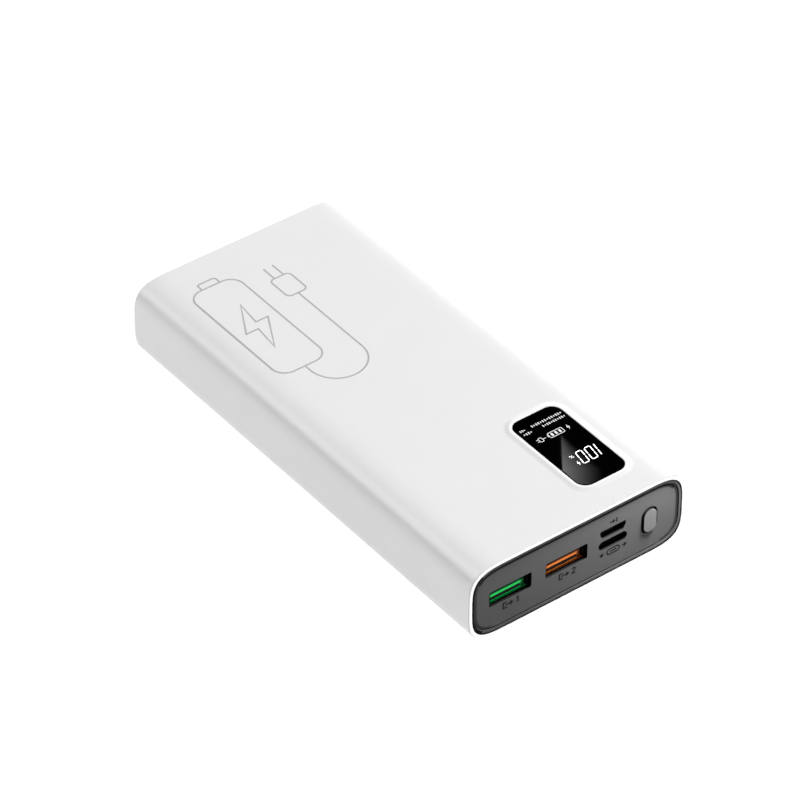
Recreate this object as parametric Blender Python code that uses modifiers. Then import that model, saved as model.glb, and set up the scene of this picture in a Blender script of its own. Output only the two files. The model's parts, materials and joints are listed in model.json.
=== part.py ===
"""Slab power bank: white tube sleeve, grey socket plate, charge display and one press button.

Units are metres. +Z is up, +Y runs along the length, and the sockets are at the -Y end. The origin
is under the middle of the body, on the surface that it rests on.
"""

import math

import bmesh
import bpy
from mathutils import Matrix, Vector

MM = 0.001

# Body
BODY_WIDTH = 68.0 * MM
BODY_LENGTH = 142.0 * MM
BODY_HEIGHT = 23.0 * MM
CORNER_WIDTH = 13.3 * MM
CORNER_POWER = 3.8
CORNER_STEPS = 16
WALL = 1.8 * MM
RIM_WALL = 1.0 * MM
RIM_ROUND = 0.45 * MM
REBATE_DEPTH = 3.7 * MM
GAP = 0.3 * MM
TIGHT_GAP = 0.2 * MM
OVERSHOOT = 1.0 * MM
OVERLAP = 0.5 * MM
WELD_DISTANCE = 0.001 * MM
CREASE_ANGLE = 35.0
BEVEL_ANGLE = 40.0

HALF_LENGTH = BODY_LENGTH / 2
MID_Z = BODY_HEIGHT / 2
FRONT_Y = -HALF_LENGTH
INNER_TOP = BODY_HEIGHT - WALL

# End plates
PLATE_INSET = RIM_WALL + GAP
PLATE_SET_BACK = 0.05 * MM
PLATE_DEPTH = 3.35 * MM
PLATE_WALL = 1.2 * MM
PLATE_EDGE = 0.15 * MM
PLATE_LIP = 0.45 * MM
FIELD_DEPTH = 0.5 * MM
FIELD_EDGE = 0.4 * MM
FLOOR_THICKNESS = 1.2 * MM
FIELD_Y = FRONT_Y + FIELD_DEPTH
FLOOR_BACK_Y = FIELD_Y + FLOOR_THICKNESS
TAB_X = 14.0 * MM
TAB_WIDTH = 6.0 * MM
TAB_THICKNESS = 1.0 * MM
TAB_LENGTH = 3.8 * MM
TAB_ROOT = 1.5 * MM
HOOK_HEIGHT = 0.55 * MM
HOOK_LENGTH = 1.0 * MM
HOOK_ROOT = 0.4 * MM

# Display
WINDOW_CENTRE = (15.65 * MM, -47.1 * MM)
WINDOW_SIZE = (15.1 * MM, 30.4 * MM)
WINDOW_ROUND = 3.3 * MM
WINDOW_THICKNESS = 1.0 * MM
WINDOW_SINK = 0.1 * MM
ISLAND_RISE = 0.35 * MM
ISLAND_MARGIN = 1.4 * MM
ISLAND_EDGE = 0.9 * ISLAND_RISE
POCKET_FLOOR_Z = 21.95 * MM
DIGIT_CENTRE = (16.0 * MM, -53.0 * MM)
DIGIT_OPENING = (11.5 * MM, 8.6 * MM)
DIGIT_CUT_DEPTH = 6.0 * MM
DIGIT_CUT_Z = BODY_HEIGHT - 1.5 * MM
MODULE_SIZE = (13.0 * MM, 10.8 * MM)
MODULE_EDGE = 0.3 * MM

# Boards and sockets
PCB_BOTTOM = 12.15 * MM
PCB_THICKNESS = 0.8 * MM
PCB_TOP = PCB_BOTTOM + PCB_THICKNESS
PCB_FRONT_Y = -67.4 * MM
PCB_BACK_Y = -47.4 * MM
PCB_WIDTH = 61.6 * MM
PCB_NOTCH_GAP = 0.4 * MM
SHELL_FRONT_Y = FLOOR_BACK_Y + TIGHT_GAP
SHELL_WALL = 0.3 * MM

USB_A_X = (-20.87 * MM, -3.35 * MM)
USB_A_OPENING = (12.7 * MM, 4.6 * MM)
USB_A_SHELL = (13.1 * MM, 5.7 * MM)
USB_A_LENGTH = 13.5 * MM
USB_A_OPENING_ROUND = 0.35 * MM
USB_A_SHELL_ROUND = 0.6 * MM
USB_A_BORE_ROUND = 0.3 * MM
LATCH_SIZE = (2.2 * MM, 3.0 * MM, 8.0 * MM)
LATCH_OFFSET = 3.0 * MM
LATCH_DEPTH = 5.0 * MM
TONGUE_WIDTH = 10.9 * MM
TONGUE_TOP = MID_Z - 0.05 * MM
TONGUE_THICKNESS = 1.85 * MM
TONGUE_SET_BACK = 0.1 * MM
TONGUE_BACK_GAP = 0.6 * MM
TONGUE_EDGE = 0.25 * MM
TONGUE_BASE_DEPTH = 2.8 * MM
TONGUE_BASE_GAP = 0.3 * MM
CONTACT_OFFSETS = (-3.5 * MM, -1.0 * MM, 1.0 * MM, 3.5 * MM)
CONTACT_WIDTH = 1.0 * MM
CONTACT_THICKNESS = 0.25 * MM
CONTACT_Z = TONGUE_TOP - 0.05 * MM
CONTACT_START = 0.8 * MM
CONTACT_DIP = 0.05 * MM
CONTACT_DIP_END = 2.4 * MM
CONTACT_BEND_START = 0.1 * MM
CONTACT_BEND_END = 0.9 * MM
CONTACT_LIFT = 0.35 * MM
CONTACT_TAIL = 2.2 * MM
SLOT_MARGIN = 0.15 * MM
SLOT_START = 0.5 * MM
SLOT_BELOW = 0.25 * MM
SLOT_ABOVE = 0.35 * MM

TYPE_C_X = 11.3 * MM
TYPE_C_SHELL = (8.94 * MM, 3.16 * MM)
TYPE_C_OPENING = (8.9 * MM, 2.6 * MM)
TYPE_C_LENGTH = 7.3 * MM
TYPE_C_TONGUE = (6.7 * MM, 0.7 * MM)
TYPE_C_BASE_DEPTH = 1.8 * MM
SMALL_TONGUE_GAP = 0.5 * MM
TYPE_C_Z = PCB_BOTTOM - TIGHT_GAP - TYPE_C_SHELL[1] / 2

MICRO_X = 11.25 * MM
MICRO_SHELL = (7.5 * MM, 2.6 * MM)
MICRO_OPENING = (7.9 * MM, 2.3 * MM)
MICRO_TAPER = 0.75 * MM
MICRO_LENGTH = 5.5 * MM
MICRO_TONGUE_WIDTH = 3.8 * MM
MICRO_TONGUE_RISE = (0.05 * MM, 0.65 * MM)
MICRO_BASE_DEPTH = 1.6 * MM
MICRO_Z = PCB_TOP + TIGHT_GAP + MICRO_SHELL[1] / 2

# Button and its switch
BUTTON_X = 22.9 * MM
BUTTON_CAP = (4.0 * MM, 7.7 * MM)
BUTTON_HOLE = (5.0 * MM, 8.6 * MM)
BUTTON_FLANGE = (6.3 * MM, 9.8 * MM)
BUTTON_FLANGE_THICKNESS = 0.7 * MM
BUTTON_EDGE = 0.3 * MM
BUTTON_STEM_WIDTH = 2.4 * MM
SWITCH_SIZE = (6.0 * MM, 3.5 * MM, 3.5 * MM)
SWITCH_FRONT_Y = -66.6 * MM
SWITCH_Z = PCB_BOTTOM - TIGHT_GAP - SWITCH_SIZE[2] / 2
SWITCH_POCKET = (2.2 * MM, 2.6 * MM, 2.0 * MM)
SWITCH_COVER = (5.6 * MM, 0.2 * MM, 3.2 * MM)
SWITCH_COVER_HOLE = (2.2 * MM, 2.0 * MM, 2.0 * MM)
PLUNGER_SIZE = (1.6 * MM, 1.4 * MM)
PLUNGER_FRONT_Y = -67.75 * MM
PLUNGER_BACK_Y = SWITCH_FRONT_Y + 0.6 * MM
PLUNGER_GAP = 0.1 * MM

# Cells and the chassis that carries them
CHASSIS_BOTTOM = WALL + GAP
CHASSIS_FLOOR = 1.0 * MM
CHASSIS_WALL = 1.0 * MM
CHASSIS_FRONT_Y = -67.0 * MM
CHASSIS_BACK_Y = 66.2 * MM
CHASSIS_FLOOR_WIDTH = 53.0 * MM
CHASSIS_RAIL_X = 30.95 * MM
CHASSIS_RAIL_WIDTH = 1.2 * MM
CHASSIS_RAIL_HEIGHT = 8.0 * MM
CHASSIS_RAIL_STEP = 0.1 * MM
CHASSIS_UPRIGHT_INSET = 0.5 * MM
CHASSIS_CROSS_STEP = 0.35 * MM
CHASSIS_NOTCH_RISE = 0.25 * MM
BULKHEAD_Y = -46.4 * MM
CELL_WIDTH = 60.0 * MM
CELL_THICKNESS = 8.0 * MM
CELL_FRONT_Y = -41.5 * MM
CELL_BACK_Y = 64.6 * MM
CELL_LENGTH = CELL_BACK_Y - CELL_FRONT_Y
CELL_MIDDLE_Y = (CELL_FRONT_Y + CELL_BACK_Y) / 2
CELL_EDGE = 2.6 * MM
TERRACE_LENGTH = 3.1 * MM
TERRACE_THICKNESS = 0.5 * MM
TERRACE_INSET = 1.5 * MM
TERRACE_ROOT = 1.0 * MM
PAD_THICKNESS = 0.6 * MM
PAD_WIDTH = 48.0 * MM
PAD_MARGIN = 6.0 * MM
FOAM_THICKNESS = 0.4 * MM
FOAM_WIDTH = 40.0 * MM
FOAM_MARGIN = 11.0 * MM
LOWER_CELL_Z = CHASSIS_BOTTOM + CHASSIS_FLOOR + TIGHT_GAP + CELL_THICKNESS / 2
PAD_Z = LOWER_CELL_Z + CELL_THICKNESS / 2 + TIGHT_GAP + PAD_THICKNESS / 2
UPPER_CELL_Z = PAD_Z + PAD_THICKNESS / 2 + TIGHT_GAP + CELL_THICKNESS / 2
FOAM_Z = UPPER_CELL_Z + CELL_THICKNESS / 2 + TIGHT_GAP + FOAM_THICKNESS / 2
CELL_TAB_X = 15.0 * MM
CELL_TAB_WIDTH = 8.0 * MM
CELL_TAB_THICKNESS = 0.2 * MM
CELL_TAB_BEND = 0.75 * MM
CELL_TAB_REACH = 0.6 * MM
PROTECTION_SIZE = (44.0 * MM, 3.0 * MM, 0.8 * MM)
PROTECTION_Y = -43.6 * MM
LEAD_RADIUS = 0.9 * MM
LEAD_X = 1.4 * MM
LEAD_CREST = 0.45 * MM
LEAD_STEPS = 4

# Fasteners of the board
SCREW_PLACES = (
    (-12.1 * MM, -61.5 * MM),
    (28.6 * MM, -61.5 * MM),
    (-28.4 * MM, -50.4 * MM),
    (28.4 * MM, -50.4 * MM),
)
SCREW_HEAD_RADIUS = 1.75 * MM
SCREW_HEAD_HEIGHT = 1.2 * MM
SCREW_HEAD_EDGE = 0.3 * MM
SCREW_HEAD_ROOT = 0.4 * MM
SCREW_RECESS = (2.2 * MM, 0.5 * MM, 1.2 * MM)
SCREW_RADIUS = 0.95 * MM
SCREW_LENGTH = 6.5 * MM
SCREW_TIP_GAP = 0.5 * MM
SCREW_CLEARANCE = 1.25 * MM
BOSS_RADIUS = 1.85 * MM
BOSS_ARM_Z = 6.0 * MM
BOSS_ARM_WIDTH = 2.6 * MM
BOSS_ARM_THICKNESS = 2.0 * MM
BOSS_POST_X = 22.5 * MM
BOSS_POST_WIDTH = 2.0 * MM
BOSS_FLOOR_REACH = CHASSIS_FLOOR_WIDTH / 2 - BOSS_RADIUS
ROUND_SEGMENTS = 24
HOLE_SEGMENTS = 16

# Larger components of the board
PART_ROW_Y = -51.3 * MM
INDUCTOR_X = -21.2 * MM
INDUCTOR_SIZE = (7.0 * MM, 6.6 * MM, 4.0 * MM)
INDUCTOR_EDGE = 0.6 * MM
CAPACITOR_X = (-11.6 * MM, -5.4 * MM)
CAPACITOR_RADIUS = 2.5 * MM
CAPACITOR_HEIGHT = 5.4 * MM
CAPACITOR_EDGE = 0.3 * MM
CHARGE_CHIP_PLACE = (6.0 * MM, -55.0 * MM)
CHARGE_CHIP_SIZE = (5.0 * MM, 5.0 * MM, 0.8 * MM)
BOOST_CHIP_PLACE = (-12.0 * MM, -50.0 * MM)
BOOST_CHIP_SIZE = (4.0 * MM, 4.0 * MM, 0.9 * MM)

# Rotation that turns a flat outline, drawn in X and Z, to face along Y
FACING_Y = (math.pi / 2, 0.0, 0.0)
# Rotation that turns a flat outline, drawn in Y and Z, to face along X
FACING_X = (math.pi / 2, 0.0, math.pi / 2)


def clear_scene():
    """Remove what a new file holds."""
    for item in list(bpy.data.objects):
        bpy.data.objects.remove(item, do_unlink=True)


def make_collection(name):
    """Add a collection to the scene."""
    collection = bpy.data.collections.new(name)
    bpy.context.scene.collection.children.link(collection)
    return collection


clear_scene()
PARTS = make_collection("power_bank")
CUTTERS = make_collection("power_bank_cutters")


def material(name, colour, roughness, metallic=0.0):
    """Make a plain finish for one or more sub-parts."""
    finish = bpy.data.materials.new(name)
    finish.use_nodes = True
    shader = finish.node_tree.nodes["Principled BSDF"]
    shader.inputs["Base Color"].default_value = (*colour, 1.0)
    shader.inputs["Roughness"].default_value = roughness
    shader.inputs["Metallic"].default_value = metallic
    finish.diffuse_color = (*colour, 1.0)
    return finish


WHITE_PLASTIC = material("white_plastic", (0.80, 0.80, 0.81), 0.35)
GREY_PLASTIC = material("grey_plastic", (0.14, 0.14, 0.145), 0.45)
BUTTON_PLASTIC = material("button_plastic", (0.32, 0.32, 0.32), 0.45)
BLACK_PLASTIC = material("black_plastic", (0.02, 0.02, 0.022), 0.5)
GREEN_PLASTIC = material("green_plastic", (0.02, 0.55, 0.12), 0.4)
ORANGE_PLASTIC = material("orange_plastic", (0.85, 0.26, 0.03), 0.4)
SMOKED_WINDOW = material("smoked_window", (0.01, 0.01, 0.012), 0.08)
BRIGHT_STEEL = material("bright_steel", (0.6, 0.6, 0.6), 0.3, 1.0)
DARK_STEEL = material("dark_steel", (0.1, 0.1, 0.105), 0.32, 1.0)
GOLD_PLATING = material("gold_plating", (0.85, 0.62, 0.25), 0.3, 1.0)
NICKEL_STRIP = material("nickel_strip", (0.62, 0.6, 0.56), 0.35, 1.0)
CELL_FOIL = material("cell_foil", (0.55, 0.56, 0.58), 0.4, 0.8)
BOARD_GREEN = material("board_green", (0.02, 0.16, 0.07), 0.4)
FERRITE = material("ferrite", (0.08, 0.08, 0.085), 0.7)
FOAM = material("foam", (0.05, 0.05, 0.05), 0.95)
TAPE = material("tape", (0.75, 0.73, 0.66), 0.7)
LEAD_RED = material("lead_red", (0.6, 0.02, 0.02), 0.5)
LEAD_BLACK = material("lead_black", (0.02, 0.02, 0.02), 0.5)


# ---------------------------------------------------------------- building blocks

def place(data, name, location, rotation, finish):
    """Put a mesh or curve in the scene as a named sub-part."""
    item = bpy.data.objects.new(name, data)
    item.location = location
    item.rotation_euler = rotation
    if finish is not None:
        data.materials.append(finish)
    PARTS.objects.link(item)
    return item


def box(name, size, centre, finish=None):
    """A box of a size, about a centre."""
    mesh = bpy.data.meshes.new(name)
    form = bmesh.new()
    bmesh.ops.create_cube(form, size=1.0, matrix=Matrix.Diagonal((*size, 1.0)))
    form.to_mesh(mesh)
    form.free()
    return place(mesh, name, centre, (0.0, 0.0, 0.0), finish)


def span_box(name, x_span, y_span, z_span, finish=None):
    """A box between two values on each axis."""
    spans = (x_span, y_span, z_span)
    size = [high - low for low, high in spans]
    centre = [(low + high) / 2 for low, high in spans]
    return box(name, size, centre, finish)


def cylinder(name, radius, z_span, place_xy, finish=None, segments=ROUND_SEGMENTS):
    """An upright cylinder between two heights."""
    mesh = bpy.data.meshes.new(name)
    form = bmesh.new()
    bmesh.ops.create_cone(
        form,
        cap_ends=True,
        segments=segments,
        radius1=radius,
        radius2=radius,
        depth=z_span[1] - z_span[0],
    )
    form.to_mesh(mesh)
    form.free()
    centre = (*place_xy, (z_span[0] + z_span[1]) / 2)
    item = place(mesh, name, centre, (0.0, 0.0, 0.0), finish)
    smooth(item)
    return item


def extrusion(name, outline, thickness, location, rotation, finish=None):
    """A flat closed outline, thickened both ways, as a welded mesh."""
    curve = bpy.data.curves.new(name + "_outline", "CURVE")
    curve.dimensions = "2D"
    curve.fill_mode = "BOTH"
    curve.extrude = thickness / 2
    spline = curve.splines.new("POLY")
    spline.points.add(len(outline) - 1)
    for point, (across, up) in zip(spline.points, outline):
        point.co = (across, up, 0.0, 1.0)
    spline.use_cyclic_u = True
    return curve_to_mesh(place(curve, name, location, rotation, finish))


def curve_to_mesh(item):
    """Turn a curve into a mesh whose caps are welded on, so that it can be cut and joined."""
    bpy.context.view_layer.update()
    evaluated = item.evaluated_get(bpy.context.evaluated_depsgraph_get())
    mesh = bpy.data.meshes.new_from_object(evaluated)
    form = bmesh.new()
    form.from_mesh(mesh)
    bmesh.ops.remove_doubles(form, verts=form.verts, dist=WELD_DISTANCE)
    bmesh.ops.recalc_face_normals(form, faces=form.faces)
    form.to_mesh(mesh)
    form.free()
    name = item.name
    matrix = item.matrix_world.copy()
    bpy.data.objects.remove(item, do_unlink=True)
    solid = bpy.data.objects.new(name, mesh)
    solid.matrix_world = matrix
    PARTS.objects.link(solid)
    return solid


def smooth(item):
    """Shade round stretches smooth and keep edges crisp."""
    item.data.shade_smooth()
    item.data.set_sharp_from_angle(angle=math.radians(CREASE_ANGLE))


def bevel(item, width, segments=2):
    """Round the edges of a solid."""
    rounding = item.modifiers.new("rounding", "BEVEL")
    rounding.width = width
    rounding.segments = segments
    rounding.limit_method = "ANGLE"
    rounding.angle_limit = math.radians(BEVEL_ANGLE)


def combine(item, tool, operation):
    """Cut or join a solid with a tool, which stays in the file as a guide."""
    step = item.modifiers.new(operation.lower() + "_" + tool.name, "BOOLEAN")
    step.operation = operation
    step.object = tool
    if tool.name in PARTS.objects:
        PARTS.objects.unlink(tool)
        CUTTERS.objects.link(tool)
        tool.hide_render = True
        tool.display_type = "WIRE"


def cut(item, *tools):
    """Take tools away from a solid."""
    for tool in tools:
        combine(item, tool, "DIFFERENCE")


def join(item, *tools):
    """Add tools to a solid."""
    for tool in tools:
        combine(item, tool, "UNION")


def arc(centre, radius, start, end, steps):
    """Points of an arc, in degrees."""
    points = []
    for step in range(steps + 1):
        angle = math.radians(start + (end - start) * step / steps)
        points.append((centre[0] + radius * math.cos(angle), centre[1] + radius * math.sin(angle)))
    return points


def round_rectangle(width, height, radius, steps=5):
    """A rectangle with round corners, about the origin."""
    across = width / 2 - radius
    up = height / 2 - radius
    points = []
    for corner, (side_x, side_y) in enumerate(((1, 1), (-1, 1), (-1, -1), (1, -1))):
        start = 90.0 * corner
        points += arc((side_x * across, side_y * up), radius, start, start + 90.0, steps)
    return points


def stadium(width, height, steps=12):
    """A slot shape with half-round ends, about the origin."""
    radius = min(width, height) / 2
    across = width / 2 - radius
    up = height / 2 - radius
    if width > height:
        right = arc((across, 0.0), radius, -90.0, 90.0, steps)
        left = arc((-across, 0.0), radius, 90.0, 270.0, steps)
        return right + left
    top = arc((0.0, up), radius, 0.0, 180.0, steps)
    bottom = arc((0.0, -up), radius, 180.0, 360.0, steps)
    return top + bottom


def micro_outline(width, height, inset=0.0):
    """The tapered outline of a micro socket, wide side up."""
    half = width / 2 - inset
    up = height / 2 - inset
    return [
        (half, up),
        (-half, up),
        (-half, 0.1 * up),
        (-half + MICRO_TAPER, -up),
        (half - MICRO_TAPER, -up),
        (half, 0.1 * up),
    ]


def body_outline(inset):
    """The body's cross-section, drawn in by an inset: flat top and bottom, pillowed sides."""
    flat = BODY_WIDTH / 2 - CORNER_WIDTH
    across = CORNER_WIDTH - inset
    up = BODY_HEIGHT / 2 - inset
    quarter = []
    for step in range(CORNER_STEPS + 1):
        angle = math.pi / 2 * step / CORNER_STEPS
        reach = (math.cos(angle) ** CORNER_POWER + math.sin(angle) ** CORNER_POWER) ** (-1 / CORNER_POWER)
        quarter.append((flat + across * reach * math.cos(angle), up * reach * math.sin(angle)))
    top_left = [(-x, z) for x, z in reversed(quarter)]
    bottom_left = [(-x, -z) for x, z in quarter[1:]]
    bottom_right = [(x, -z) for x, z in reversed(quarter[1:])]
    return quarter + top_left + bottom_left + bottom_right


def body_slice(name, inset, y_span, finish=None):
    """The body's cross-section, run between two places along the length."""
    middle = (0.0, (y_span[0] + y_span[1]) / 2, MID_Z)
    return extrusion(name, body_outline(inset), y_span[1] - y_span[0], middle, FACING_Y, finish)


def through_front(name, outline, x, z, y_span):
    """A cutter of an outline that faces along Y."""
    middle = (x, (y_span[0] + y_span[1]) / 2, z)
    return extrusion(name, outline, y_span[1] - y_span[0], middle, FACING_Y)


def strip(name, path, thickness, width, x, finish):
    """A bent metal strip: a path in Y and Z with a thickness, and a width along X."""
    sides = []
    for side in (1, -1):
        shifted = []
        for index, point in enumerate(path):
            before = Vector(path[max(index - 1, 0)])
            after = Vector(path[min(index + 1, len(path) - 1)])
            run_in = (Vector(point) - before) if index > 0 else (after - Vector(point))
            run_out = (after - Vector(point)) if index < len(path) - 1 else run_in
            bisector = (run_in.normalized() + run_out.normalized()).normalized()
            normal = Vector((-bisector.y, bisector.x))
            stretch = 1.0 / max(normal.dot(Vector((-run_in.y, run_in.x)).normalized()), 0.5)
            offset = normal * (side * thickness / 2 * stretch)
            shifted.append((point[0] + offset.x, point[1] + offset.y))
        sides.append(shifted)
    outline = sides[0] + sides[1][::-1]
    return extrusion(name, outline, width, (x, 0.0, 0.0), FACING_X, finish)


def smooth_route(points, steps):
    """Points of a smooth curve that passes through the route's own points."""
    route = [Vector(point) for point in points]
    padded = [route[0] * 2 - route[1]] + route + [route[-1] * 2 - route[-2]]
    result = []
    for index in range(1, len(padded) - 2):
        p0, p1, p2, p3 = padded[index - 1:index + 3]
        for step in range(steps):
            t = step / steps
            result.append(
                0.5 * (2 * p1 + (p2 - p0) * t + (2 * p0 - 5 * p1 + 4 * p2 - p3) * t * t
                       + (3 * p1 - p0 - 3 * p2 + p3) * t * t * t)
            )
    result.append(route[-1])
    return result


# ---------------------------------------------------------------- casing

def tab_boxes(name, end, y_span, thickness_span, margin=0.0):
    """Boxes on the four snap tabs of an end plate; spans are counted inwards from the sleeve."""
    boxes = []
    half = TAB_WIDTH / 2 + margin
    for side, side_name in ((-1, "left"), (1, "right")):
        for flip, flip_name in ((1, "top"), (-1, "bottom")):
            x = side * TAB_X
            heights = (INNER_TOP - MID_Z - inwards for inwards in thickness_span)
            low, high = sorted(MID_Z + flip * height for height in heights)
            near, far = sorted(end * along for along in y_span)
            boxes.append(
                span_box(
                    "_".join((name, side_name, flip_name)),
                    (x - half, x + half),
                    (near, far),
                    (low, high),
                )
            )
    return boxes


TAB_INNER_Y = HALF_LENGTH - PLATE_DEPTH - TAB_LENGTH
HOOK_Y_SPAN = (TAB_INNER_Y, TAB_INNER_Y + HOOK_LENGTH)


def display_outline(margin, radius):
    """The display's rounded rectangle, made wider all round by a margin."""
    return round_rectangle(WINDOW_SIZE[0] + 2 * margin, WINDOW_SIZE[1] + 2 * margin, radius, 6)


def make_sleeve():
    """One-piece white tube with a rebate at each end and a raised frame round the display."""
    sleeve = body_slice("shell_sleeve", 0.0, (-HALF_LENGTH, HALF_LENGTH), WHITE_PLASTIC)
    bevel(sleeve, RIM_ROUND, 3)
    island_bottom = INNER_TOP + OVERLAP
    island_top = BODY_HEIGHT + ISLAND_RISE
    island = extrusion(
        "display_island",
        display_outline(ISLAND_MARGIN, WINDOW_ROUND + ISLAND_MARGIN),
        island_top - island_bottom,
        (*WINDOW_CENTRE, (island_top + island_bottom) / 2),
        (0.0, 0.0, 0.0),
    )
    bevel(island, ISLAND_EDGE, 2)
    join(sleeve, island)
    cut(sleeve, body_slice("sleeve_bore", WALL, (-HALF_LENGTH - OVERSHOOT, HALF_LENGTH + OVERSHOOT)))
    for end, name in ((-1, "front_rebate"), (1, "rear_rebate")):
        span = sorted((end * (HALF_LENGTH - REBATE_DEPTH), end * (HALF_LENGTH + OVERSHOOT)))
        cut(sleeve, body_slice(name, RIM_WALL, span))
        pocket_span = (HOOK_Y_SPAN[0] - GAP, HOOK_Y_SPAN[1] + GAP)
        cut(sleeve, *tab_boxes(name + "_hook_pocket", end, pocket_span, (-HOOK_HEIGHT, OVERSHOOT), GAP))
    pocket_top = island_top + OVERSHOOT
    cut(
        sleeve,
        extrusion(
            "window_pocket",
            display_outline(0.0, WINDOW_ROUND),
            pocket_top - POCKET_FLOOR_Z,
            (*WINDOW_CENTRE, (pocket_top + POCKET_FLOOR_Z) / 2),
            (0.0, 0.0, 0.0),
        ),
        box("digit_opening", (*DIGIT_OPENING, DIGIT_CUT_DEPTH), (*DIGIT_CENTRE, DIGIT_CUT_Z)),
    )
    return sleeve


def make_window():
    """Smoked window, seated in the raised frame."""
    top = BODY_HEIGHT + ISLAND_RISE - WINDOW_SINK
    window = extrusion(
        "display_window",
        display_outline(-GAP, WINDOW_ROUND - GAP),
        WINDOW_THICKNESS,
        (*WINDOW_CENTRE, top - WINDOW_THICKNESS / 2),
        (0.0, 0.0, 0.0),
        SMOKED_WINDOW,
    )
    smooth(window)
    return window


def make_end_plate(name, end, finish):
    """A tray that closes one end of the sleeve, with four snap tabs on its inner side."""
    outer_y = HALF_LENGTH - PLATE_SET_BACK
    inner_y = outer_y - PLATE_DEPTH
    floor_inner = HALF_LENGTH - FIELD_DEPTH - FLOOR_THICKNESS
    plate = body_slice(name, PLATE_INSET, sorted((end * inner_y, end * outer_y)), finish)
    bevel(plate, PLATE_EDGE, 1)
    hollow_span = sorted((end * (inner_y - OVERSHOOT), end * floor_inner))
    cut(plate, body_slice(name + "_hollow", PLATE_INSET + PLATE_WALL, hollow_span))
    tab_y = (TAB_INNER_Y, inner_y + TAB_ROOT)
    join(plate, *tab_boxes(name + "_tab", end, tab_y, (GAP, GAP + TAB_THICKNESS)))
    join(plate, *tab_boxes(name + "_hook", end, HOOK_Y_SPAN, (GAP - HOOK_HEIGHT, GAP + HOOK_ROOT)))
    return plate


def make_front_plate():
    """Grey socket plate: a shallow tray with the holes of four sockets and the button."""
    plate = make_end_plate("front_plate", -1, GREY_PLASTIC)
    field = body_slice("front_field", PLATE_INSET + PLATE_LIP, (FRONT_Y - OVERSHOOT, FIELD_Y))
    bevel(field, FIELD_EDGE, 1)
    hole_span = (FRONT_Y - OVERSHOOT, FLOOR_BACK_Y + OVERSHOOT)
    holes = [field]
    for index, x in enumerate(USB_A_X):
        outline = round_rectangle(*USB_A_OPENING, USB_A_OPENING_ROUND, 3)
        holes.append(through_front("usb_a_hole_%d" % (index + 1), outline, x, MID_Z, hole_span))
    holes.append(through_front("type_c_hole", stadium(*TYPE_C_OPENING), TYPE_C_X, TYPE_C_Z, hole_span))
    holes.append(through_front("micro_hole", micro_outline(*MICRO_OPENING), MICRO_X, MICRO_Z, hole_span))
    holes.append(through_front("button_hole", stadium(*BUTTON_HOLE), BUTTON_X, MID_Z, hole_span))
    cut(plate, *holes)
    return plate


def make_rear_cap():
    """White cap of the far end, with a flat outer face."""
    return make_end_plate("rear_cap", 1, WHITE_PLASTIC)


# ---------------------------------------------------------------- cells and chassis

def join_boss(chassis, number, place_xy, floor_top):
    """A screw boss on the floor, or on an arm where the sleeve's rounding leaves no floor."""
    x, y = place_xy
    boss_foot = floor_top - OVERLAP
    if abs(x) > BOSS_FLOOR_REACH:
        boss_foot = BOSS_ARM_Z
        inner_x = math.copysign(BOSS_POST_X, x)
        arm_x = sorted((inner_x, x))
        arm_y = (y - BOSS_ARM_WIDTH / 2, y + BOSS_ARM_WIDTH / 2)
        arm_z = (BOSS_ARM_Z, BOSS_ARM_Z + BOSS_ARM_THICKNESS)
        post_x = sorted((inner_x, inner_x + math.copysign(BOSS_POST_WIDTH, x)))
        post_z = (floor_top - OVERLAP, BOSS_ARM_Z + BOSS_ARM_THICKNESS / 2)
        join(chassis, span_box("boss_arm_%d" % number, arm_x, arm_y, arm_z))
        join(chassis, span_box("boss_post_%d" % number, post_x, arm_y, post_z))
    boss_span = (boss_foot, PCB_BOTTOM - TIGHT_GAP)
    join(chassis, cylinder("boss_%d" % number, BOSS_RADIUS, boss_span, place_xy))


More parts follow.
